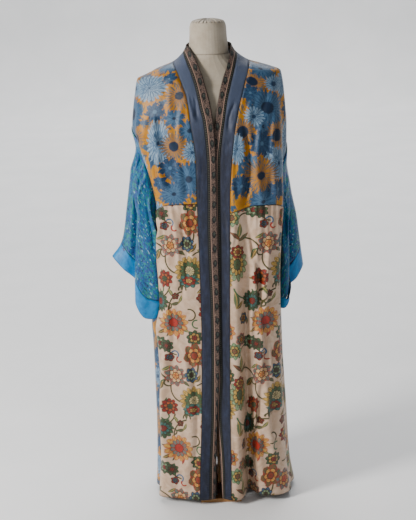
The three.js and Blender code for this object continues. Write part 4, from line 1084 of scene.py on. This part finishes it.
def floral_print(wires, place):
    damask = wires.noise(place, 0.03, 3.0, 0.6, 1.2)
    colour = wires.ramp(damask, [
        (0.35, dye(214, 188, 164)), (0.5, dye(224, 200, 178)), (0.66, dye(232, 210, 190)),
    ])
    silk = Print(wires, place, FLORAL_TILE, colour)
    for u, v, reach_u, reach_v, start, sweep, stem in STEMS:
        silk.add(TENDRIL, u, v, reach_u, reach_v, -math.radians(start), {
            "Sweep": math.radians(sweep), "Width": 2.2 / reach_u, "Stem Colour": dye(*DYES[stem])})
    for u, v, length, width, lean, leaf, vein in LEAVES:
        silk.add(LEAF, u, v, length, width, -math.radians(lean), {
            "Leaf Colour": dye(*DYES[leaf]), "Vein Colour": dye(*DYES[vein]), "Strength": 0.95})
    for index, (u, v, reach_u, reach_v, petals, *dyes, edge) in enumerate(BLOSSOMS):
        for ring, (share, fullness) in enumerate(RINGS):
            silk.add(FLOWER, u, v, reach_u * share, reach_v * share, index * 0.9 + ring * 0.5, {
                "Petals": petals - 2 * ring if petals > 7 else petals, "Fullness": fullness,
                "Roundness": 0.24 if petals > 12 or ring else 0.4, "Ragged": 0.14, "Disc": 0.1,
                "Rim": 2.4 / (reach_u * share), "Strength": 1.0,
                "Petal Colour": dye(*DYES[dyes[ring]]), "Streak Colour": dye(*DYES[edge]),
                "Rim Colour": dye(*DYES["brown" if ring else edge]), "Disc Colour": dye(*DYES["brown"])})
    return silk.colour


def slate_with_painted_top_light(wires, place):
    mottle = wires.noise(place * (0.06, 0.02, 1), 1.0, 4.0, 0.65)
    colour = wires.ramp(mottle, [(0.3, dye(48, 54, 74)), (0.5, dye(60, 68, 92)), (0.7, dye(76, 86, 114))])
    # painted light: the slate is mixed toward a paler slate from 1020 up to 1260 mm, so it is lighter at the
    # shoulders as if lit from above
    tone_shift = wires.soft_step(wires.split(place)[1], 1020.0, 1260.0, 0.0, 0.5)
    return wires.mix(tone_shift, colour, dye(124, 138, 164))


DOT_PITCH = 6.5
PAISLEY_TILE = (60, 86)
PAISLEY_LAYERS = ((1.0, (30, 40, 38), (20, 26, 26)), (0.5, (92, 100, 92), (50, 62, 58)))


def trim_print(wires, place):
    """Across from the seam: a dotted dark strip, a pale line, then paisleys among scrolls and specks."""
    across, along, _ = wires.split(place)
    scroll = wires.noise(place, 0.22, 3.0, 0.6, 1.5)
    colour = wires.ramp(scroll, [
        (0.36, dye(36, 30, 28)), (0.45, dye(58, 46, 42)), (0.475, dye(150, 124, 112)),
        (0.505, dye(190, 164, 150)), (0.53, dye(54, 44, 40)), (0.61, dye(40, 34, 32)),
        (0.65, dye(170, 146, 134)),
    ])
    crepe = Print(wires, place, PAISLEY_TILE, colour)
    for v, lean in ((21, 0.9), (64, -2.2)):
        for share, petal, streaks in PAISLEY_LAYERS:
            crepe.add(FLOWER, 18.5, v, 9.5 * share, 17 * share, lean, {
                "Petals": 1.0, "Fullness": 0.35, "Roundness": 0.9, "Ragged": 0.2, "Disc": 0.12, "Rim": -1.0,
                "Strength": 1.0, "Petal Colour": dye(*petal), "Streak Colour": dye(*streaks),
                "Disc Colour": dye(150, 122, 108)})
    colour = crepe.colour
    line = wires.soft_step(abs(across - 8.6), 0.9, 0.5)
    colour = wires.mix(line, colour, dye(196, 168, 152))
    dot_v = wires.math("WRAP", along, DOT_PITCH, 0.0) - DOT_PITCH / 2
    dots = wires.soft_step(wires.vector("LENGTH", wires.join(across - 4.0, dot_v)), 1.15, 0.6)
    strip = wires.mix(dots, dye(22, 30, 28), dye(150, 146, 124))
    return wires.mix(wires.soft_step(across, 7.9, 7.5), colour, strip)


def turquoise_print(wires, place):
    bend = wires.noise(place, 0.03, 3.0, 0.6)
    warped = place + wires.join(bend * 30.0, 0.0)
    pick = wires.split(wires.cells(warped, 0.2, 1.0)["Color"])[0]
    colour = wires.ramp(pick, [
        (0.0, dye(0, 104, 156)), (0.3, dye(0, 134, 184)), (0.52, dye(0, 150, 176)), (0.66, dye(86, 104, 176)),
        (0.76, dye(20, 156, 136)), (0.86, dye(0, 64, 120)), (0.95, dye(160, 200, 212)),
    ], "CONSTANT")
    leafy = wires.noise(warped, 0.11, 3.0, 0.65, 1.0)
    colour = wires.mix(wires.soft_step(leafy, 0.42, 0.48), dye(0, 112, 166), colour)
    big = wires.noise(place, 0.022, 2.0, 0.5, 1.4)
    swirl = wires.soft_step(abs(big - 0.52), 0.022, 0.008, 0.0, 0.7)
    return wires.mix(swirl, colour, dye(70, 170, 150))


def cuff_print(wires, place):
    shade = wires.noise(place, 0.05, 3.0, 0.6)
    colour = wires.ramp(shade, [(0.35, dye(0, 146, 200)), (0.65, dye(0, 168, 222))])
    cells = wires.cells(place, 0.045, 0.9)
    chosen = wires.math("LESS_THAN", wires.split(cells["Color"])[1], 0.3)
    near = wires.soft_step(cells["Distance"], 0.22, 0.14) * chosen
    colour = wires.mix(near, colour, dye(40, 60, 120))
    heart = wires.soft_step(cells["Distance"], 0.09, 0.05) * chosen
    return wires.mix(heart, colour, dye(170, 160, 210))


def new_material(name):
    material = bpy.data.materials.new(name)
    material.use_nodes = True
    return material, Wiring(material.node_tree), material.node_tree.nodes["Principled BSDF"]


def woven(wires, colour, shade):
    return wires.mix(1.0, colour, wires.join(shade, shade, shade), "MULTIPLY")


def relief(wires, height, distance):
    return wires.node("ShaderNodeBump", {"Strength": 1.0, "Distance": distance, "Height": height})


def cloth(name, print_on, thread, slub, twill, roughness, sheen, bump, fade=None, seam=3.5):
    """A cloth material: its print or dye, its weave, and the seams along its four edges. It is read from
    the piece's own place on the flat cloth in millimetres."""
    material, wires, shader = new_material(name)
    place = wires.node("ShaderNodeUVMap", uv_map="cloth") * (1000, 1000, 1)
    colour = print_on(wires, place)
    if fade:
        colour = wires.mix(fade[0], colour, dye(*fade[1]))
    weave = wires.group(WEAVE, {"Place": place, "Thread": thread, "Slub": slub, "Twill": twill})
    colour = woven(wires, colour, weave["Shade"])
    u, v, _ = wires.split(place)
    height = weave["Height"]
    for attribute, along in (("side_edges", v), ("end_edges", u)):
        edges = wires.node("ShaderNodeAttribute", output="Vector", attribute_name=attribute)
        for edge in wires.split(edges * (1000, 1000, 1000))[:2]:
            sewn = wires.group(SEWN, {"From Edge": edge, "Along": along, "Seam": seam})
            # painted shade: the colour is darkened along each of the piece's four edges
            darker = wires.mix(1.0, colour, dye(150, 150, 150), "MULTIPLY")
            colour = wires.mix(sewn["Painted Edge Shade"] * 0.8, colour, darker)
            height = height + sewn["Pucker"]
    wires.feed(shader, {
        "Base Color": colour, "Roughness": weave["Polish"] + roughness, "Specular IOR Level": 0.36,
        "Sheen Weight": sheen, "Sheen Roughness": 0.4, "Normal": relief(wires, height, bump)})
    return material


def both_sides(name, print_on, slub, roughness, sheen, bump, tone_shift, inside=None):
    """A printed silk and its wrong side, which is duller and fades toward another dye."""
    return [
        cloth(name, print_on, 0.45, slub, 0.0, roughness, sheen, bump),
        cloth(name + " wrong side", inside or print_on, 0.45, slub, 0.0, 0.6, 0.1, bump, tone_shift),
    ]


daisy_cloth = both_sides("daisy silk", daisy_print, 0.12, 0.36, 0.05, 0.0007, (0.4, (150, 140, 120)))
floral_cloth = both_sides("floral silk", floral_print, 0.1, 0.38, 0.06, 0.0007, (0.5, (200, 180, 160)))
slate_cloth = [cloth("slate silk", slate_with_painted_top_light, 0.9, 0.3, 0.5, 0.5, 0.08, 0.0012)]
trim_cloth = [cloth("border trim", trim_print, 0.6, 0.15, 0.0, 0.62, 0.06, 0.0008, seam=1.2)]
turquoise_cloth = both_sides("turquoise silk", turquoise_print, 0.14, 0.36, 0.05, 0.001, (0.45, (70, 60, 90)))
cuff_cloth = both_sides("cuff silk", cuff_print, 0.1, 0.36, 0.05, 0.0008, (0.6, (70, 50, 70)),
                        inside=turquoise_print)


def hard_material(name, paint, roughness, sheen, bump):
    """A material for form or stand, read from the part's own coordinates in millimetres."""
    material, wires, shader = new_material(name)
    own = wires.node("ShaderNodeTexCoord", output="Object")
    colour, height, polish = paint(wires, own * (1000, 1000, 1000))
    wires.feed(shader, {"Base Color": colour, "Roughness": polish + roughness, "Sheen Weight": sheen,
                        "Normal": relief(wires, height, bump)})
    return material


NECK_RADIUS = 62.0
NECK_SEAM_Z = 1350.0


def knit(wires, place):
    x, y, z = wires.split(place)
    angle = wires.math("ARCTAN2", x, y)
    around = wires.join(angle * NECK_RADIUS, z)
    weave = wires.group(WEAVE, {"Place": around, "Thread": 1.1, "Slub": 0.25, "Twill": 0.0})
    mottle = wires.noise(place, 0.02, 3.0, 0.6)
    colour = wires.ramp(mottle, [
        (0.3, dye(196, 184, 166)), (0.55, dye(208, 198, 182)), (0.75, dye(214, 205, 190)),
    ])
    sag = wires.math("COSINE", angle) * -3.0
    off = abs(z - (sag + NECK_SEAM_Z))
    seam = wires.soft_step(off, 1.6, 0.4)
    colour = wires.mix(seam * 0.45, woven(wires, colour, weave["Shade"]), dye(120, 104, 86))
    return (colour, weave["Height"] - seam * 1.2, weave["Polish"])


def gathered_knit(wires, place):
    colour, height, polish = knit(wires, place)
    x, y, _ = wires.split(place)
    angle = wires.math("ARCTAN2", x, y)
    uneven = wires.noise(wires.join(angle * 4.0, 0.0), 1.0, 2.0, 0.6)
    ruches = wires.math("SINE", angle * 26.0 + uneven * 9.0)
    # painted shade: the jersey is darkened in the dips between the ruches
    painted_dip_shade = wires.soft_step(ruches, -0.1, -0.9)
    colour = wires.mix(painted_dip_shade * 0.4, colour, dye(128, 112, 94))
    return (colour, height + ruches * 1.5, polish)


def wood_grain(stretch):
    def paint(wires, place):
        along = place * stretch
        bands = wires.noise(along, 0.12, 5.0, 0.6, 0.8)
        pores = wires.noise(along, 0.9, 3.0, 0.7)
        colour = wires.ramp(bands, [
            (0.3, dye(158, 116, 70)), (0.5, dye(192, 150, 100)), (0.7, dye(210, 172, 122)),
        ])
        dark = wires.soft_step(pores, 0.4, 0.28, 0.0, 0.5)
        colour = wires.mix(dark, colour, dye(104, 70, 40))
        height = bands * 0.4 - dark
        polish = (bands - 0.5) * 0.3
        return colour, height, polish

    return paint


def paper_tone(wires, place):
    mottle = wires.noise(place, 0.003, 3.0, 0.5)
    colour = wires.ramp(mottle, [(0.3, display(238, 239, 240)), (0.7, display(244, 244, 245))])
    return (colour, mottle, (mottle - 0.5) * 0.1)


jersey = {name: hard_material(name.replace("_", " ") + " jersey", knit, 0.85, 0.3, 0.0006)
          for name in ("form_torso", "form_neck")}
jersey["form_neck_cap"] = hard_material("gathered jersey", gathered_knit, 0.85, 0.3, 0.0012)
wood = {"stand_pole": hard_material("pole wood", wood_grain((1, 1, 0.06)), 0.5, 0.0, 0.0004),
        "stand_base": hard_material("foot wood", wood_grain((0.06, 1, 1)), 0.5, 0.0, 0.0004)}
paper = hard_material("studio paper", paper_tone, 0.92, 0.0, 0.0001)

# ---- Creases pressed and hung into the cloth: from and to (across, up), rise and half width ----
CREASES = {
    "upper left": [
        (-157, 1193, -152, 1096, 4, 9), (-152, 1090, -131, 976, 3.5, 8), (-140, 1322, -123, 1234, -2.5, 5),
        (-109, 1304, -109, 1185, 2, 7), (-173, 1165, -102, 1040, -2, 12), (-75, 1232, -85, 1097, 1.6, 6),
        (-89, 1068, -76, 953, -2, 8),
    ],
    "upper right": [
        (73, 1169, 57, 937, 4.5, 7), (93, 1161, 90, 932, -4, 7), (144, 1171, 143, 933, 3, 8),
        (187, 1195, 188, 935, 3, 6), (167, 1273, 131, 1172, -2, 9), (119, 1240, 108, 1146, 1.8, 6),
        (167, 1087, 160, 946, -2.4, 6),
    ],
    "lower left": [
        (-145, 909, -181, 558, 3, 9), (-100, 920, -99, 656, -3, 9), (-132, 566, -159, 80, 3, 12),
        (-91, 533, -96, 32, -3, 10), (-196, 247, -118, 243, -1.5, 4), (-174, 103, -102, 81, 1.5, 5),
        (-139, 653, -134, 519, -2, 7), (-68, 866, -84, 657, 1.8, 6),
    ],
    "lower right": [
        (68, 917, 43, 55, 4.5, 8), (96, 905, 135, 20, -4.5, 8), (142, 904, 197, 68, 3, 9),
        (175, 902, 248, 68, 3.5, 8), (64, 267, 179, 242, -1.5, 4), (140, 92, 235, 92, 1.5, 5),
        (122, 862, 130, 556, -1.8, 6), (174, 556, 207, 208, -2.2, 7),
    ],
    "band left": [
        (4, 1225, 15, 1150, 3, 5), (21, 1215, 17, 1165, -2.2, 4), (12, 1050, 14, 700, 1.5, 6),
        (20, 800, 18, 400, -1.5, 5), (2, 210, 28, 214, -1.2, 4), (2, 110, 26, 118, -1.2, 5),
        (4, 330, 24, 322, -1, 5),
    ],
    "band right": [
        (14, 1205, 20, 1125, -3, 4), (6, 1200, 8, 1120, 2.5, 5), (8, 1090, 26, 1080, -1.2, 5),
        (4, 230, 26, 236, -1.2, 4), (14, 900, 12, 500, 1.5, 6), (20, 700, 22, 250, -1.4, 5),
    ],
    "sleeve left": [
        (60, 40, 96, 200, 4, 10), (120, 30, 104, 220, -4, 10), (180, 60, 206, 240, 4, 9),
        (260, 40, 250, 230, -3.5, 10), (330, 60, 344, 200, 3, 10), (400, 30, 390, 220, -2.5, 9),
    ],
    "sleeve right": [
        (50, 50, 80, 230, 3.5, 9), (110, 40, 120, 210, -4, 10), (170, 30, 160, 240, 3.5, 9),
        (240, 60, 262, 230, -3.5, 10), (310, 40, 300, 200, 3, 10), (380, 50, 396, 220, -2.5, 9),
    ],
    "back": [
        (400, 1200, 412, 700, 3, 12), (480, 1250, 470, 300, -4, 14), (560, 1240, 566, 250, 4, 12),
        (640, 1250, 652, 300, -4, 14), (720, 1200, 714, 500, 3, 12), (450, 250, 640, 240, -1.8, 9),
        (380, 640, 372, 120, -3, 10), (760, 620, 770, 140, 3, 11), (520, 1000, 600, 940, -1.5, 12),
    ],
}
def fade_at_edges(points, reach, sides=(1, 1, 1, 1)):
    """1 in the middle of a piece and 0 at those of its edges that are asked for: start and end of the
    rows, then first and last row."""
    across, along = run_lengths(points, 1), run_lengths(points, 0)
    distances = (across, across[:, -1:] - across, along, along[-1:] - along)
    fade = np.ones(points.shape[:2])
    for distance, wanted in zip(distances, sides):
        if wanted:
            fade *= eased(np.clip(distance / reach, 0, 1))
    return fade


def body_piece(name, places, materials, creases, lift=0.0, fade_sides=(1, 1, 1, 1)):
    """A piece of the body's surface at (angle, height) places, with its own creases on it."""
    angle, z = places[..., 0], places[..., 1]
    smooth = body_point(angle, z, lift)
    u = cloth_width_at(angle, z)
    rise = crease_rise(u, z, creases) * fade_at_edges(smooth, CREASE_FADE, fade_sides)
    points = body_point(angle, z, lift + rise)
    flat = np.stack([u, z[:1] + run_lengths(smooth, 0)], -1)
    return cloth_piece(name, points, flat, SILK_THICKNESS, materials, body_normal(angle, z))


def gather_lift(side, columns, below):
    total = np.zeros(np.broadcast(columns, below).shape)
    for column, rise, length in GATHERS[side]:
        apart = (columns - column) / GATHER_WIDTH
        total += rise * np.exp(-(apart**2)) * np.exp(-((below / length) ** 2))
    return total


def along_band(side, places):
    """The places with their first column exactly on the band's seam between the rows too."""
    heights = places[:, 0, 1]
    seam = SIGN[side] * abs(front_angle(front_band_at[side](heights)[..., 0], heights))
    share = np.linspace(0, 1, places.shape[1])
    places[..., 0] += (seam - places[:, 0, 0])[:, None] * (1 - share) ** 3
    return places


def front_upper(side):
    places = refined(front_upper_places(side), 8, 5, column_breaks=[SHOULDER_CORNER_COLUMN[side]])
    places = along_band(side, places)
    return body_piece("front_upper_silk_" + side, places, daisy_cloth, CREASES["upper " + side])


def front_lower(side):
    places = along_band(side, refined(front_lower_places(side), 8, 8))
    columns = np.linspace(0, UPPER_COLUMNS[side], places.shape[1])
    below = places[-1:, :, 1] - places[..., 1]
    lift = gather_lift(side, columns[None, :], below)
    return body_piece("front_lower_silk_" + side, places, floral_cloth, CREASES["lower " + side], lift,
                      fade_sides=(1, 1, 0, 0))


def back():
    neck_start = UPPER_COLUMNS["right"]
    neck_end = neck_start + 2 * len(NECK_BAND)
    corners = [neck_start - SHOULDER_CORNER_COLUMN["right"], neck_start,
               neck_end, neck_end + SHOULDER_CORNER_COLUMN["left"]]
    places = refined(back_places(), 8, 4, [LOWER_ROWS], corners)
    return body_piece("back_silk", places, daisy_cloth, CREASES["back"], fade_sides=(1, 1, 0, 1))


def band_strip(name, side, start, end, columns, materials, creases):
    edges = band_edges(side)
    shares = np.linspace(0, 1, columns + 1)[None, :, None]
    places = lerp(edges[:, start : start + 1], edges[:, end : end + 1], shares)
    angle, z, lift = places[..., 0], places[..., 1], places[..., 2]
    smooth = body_point(angle, z, lift)
    across = run_lengths(smooth, 1)
    along = run_lengths(smooth[:, :1], 0) + np.zeros_like(across)
    rise = BAND_CREASE_SHARE * crease_rise(across, along, creases) * fade_at_edges(smooth, 8, (1, 1, 0, 0))
    points = body_point(angle, z, lift + rise)
    flat = np.stack([across, along], -1)
    return cloth_piece(name + side, points, flat, BAND_THICKNESS, materials, body_normal(angle, z))


def sleeve_piece(name, side, shares, materials, creases):
    points = sleeve_tube(side, 4, shares)
    ring = np.concatenate([points, points[:, :1]], axis=1)
    around = run_lengths(ring, 1)
    down = run_lengths(ring, 0) + shares[0] * SLEEVE_LENGTH
    rise = crease_rise(around[:, :-1], down[:, :-1], creases) * fade_at_edges(points, 10, (0, 0, 1, 1))
    outward = grid_normals(points, closed=True) * SIGN[side]
    points = points + outward * rise[..., None]
    return cloth_piece(name + side, points, np.stack([around, down], -1), SILK_THICKNESS, materials, outward,
                       closed=True)


def clothe(piece, node):
    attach(piece, "root")
    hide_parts(node)


# ---- Camera, light and floor ----
CAMERA_PLACE = (-0.019, -3.1, 1.6)
CAMERA_DOWN = math.atan2(858, 3100)
CAMERA_ROLL = math.radians(1.7)
CAMERA_LENS = 74.42
camera_data = bpy.data.cameras.new("camera")
camera_data.sensor_fit = "AUTO"
camera_data.sensor_width = 36
camera_data.lens = CAMERA_LENS
camera = new_object("camera", camera_data)
camera.location = CAMERA_PLACE
level_up = Vector((0, math.sin(CAMERA_DOWN), math.cos(CAMERA_DOWN)))
level_right = Vector((1, 0, 0))
right = math.cos(CAMERA_ROLL) * level_right - math.sin(CAMERA_ROLL) * level_up
up = math.sin(CAMERA_ROLL) * level_right + math.cos(CAMERA_ROLL) * level_up
camera.rotation_euler = Matrix((right, up, right.cross(up))).transposed().to_euler()
bpy.context.scene.camera = camera


def light(name, place, target, size, power, colour):
    data = bpy.data.lights.new(name, "AREA")
    data.shape = "RECTANGLE"
    data.size, data.size_y = size
    data.energy = power
    data.color = colour
    lamp = new_object(name, data)
    lamp.location = place
    lamp.rotation_euler = (Vector(target) - Vector(place)).to_track_quat("-Z", "Y").to_euler()


light("key", (-3.0, -1.8, 2.2), (0, 0, 0.8), (0.8, 1.3), 185, (1, 0.97, 0.93))
light("fill", (2.6, -2.4, 1.6), (0, 0, 0.7), (2.0, 2.0), 3, (0.93, 0.96, 1))
light("backdrop", (0, 6.0, 7.0), (0, 6.2, 0), (7, 9), 800, (1, 1, 1))

world = bpy.data.worlds.new("studio")
bpy.context.scene.world = world
world.use_nodes = True
Wiring(world.node_tree).feed(world.node_tree.nodes["Background"], {
    "Color": (0.86, 0.87, 0.88, 1), "Strength": 0.32})


BACKDROP = 8.6  # metres behind the object


def sweep():
    """A pale floor that curves up into a backdrop."""
    profile = [(-12.0, 0.0), (BACKDROP, 0.0)]
    profile += [(BACKDROP + math.sin(t), 1.0 - math.cos(t)) for t in np.linspace(0.1, math.pi / 2, 14)]
    profile.append((BACKDROP + 1.0, 3.6))
    grid = bmesh.new()
    bmesh.ops.create_grid(grid, x_segments=1, y_segments=len(profile) - 1, size=1)
    for vert in grid.verts:
        y, z = profile[round((vert.co.y + 1) / 2 * (len(profile) - 1))]
        vert.co = (vert.co.x * 12, y, z)
    floor = grid_object("studio_sweep", grid, [paper])


sweep()

# ---- The garment ----
SLEEVE_SHARES = np.linspace(0, SLEEVE_SEAM_SHARE, 46)
CUFF_SHARES = np.linspace(SLEEVE_SEAM_SHARE, 1, 14)
for side in SIDES:
    upper = front_upper(side)
    clothe(upper, "front_upper_" + side)
    lower = front_lower(side)
    clothe(lower, "front_lower_" + side)
    band = band_strip("neck_band_silk_", side, 0, 1, 10, slate_cloth, CREASES["band " + side])
    clothe(band, "neck_band_" + side)
    trim = band_strip("border_trim_silk_", side, 1, 2, 8, trim_cloth, [])
    clothe(trim, "border_trim_" + side)
    sleeve = sleeve_piece("sleeve_silk_", side, SLEEVE_SHARES, turquoise_cloth, CREASES["sleeve " + side])
    clothe(sleeve, "sleeve_" + side)
    cuff = sleeve_piece("cuff_silk_", side, CUFF_SHARES, cuff_cloth, [])
    clothe(cuff, "cuff_" + side)
clothe(back(), "back_panel")

for name in ("form_torso", "form_neck", "form_neck_cap"):
    nodes[name].data.materials.clear()
    nodes[name].data.materials.append(jersey[name])
for name in ("stand_pole", "stand_base"):
    nodes[name].data.materials.clear()
    nodes[name].data.materials.append(wood[name])
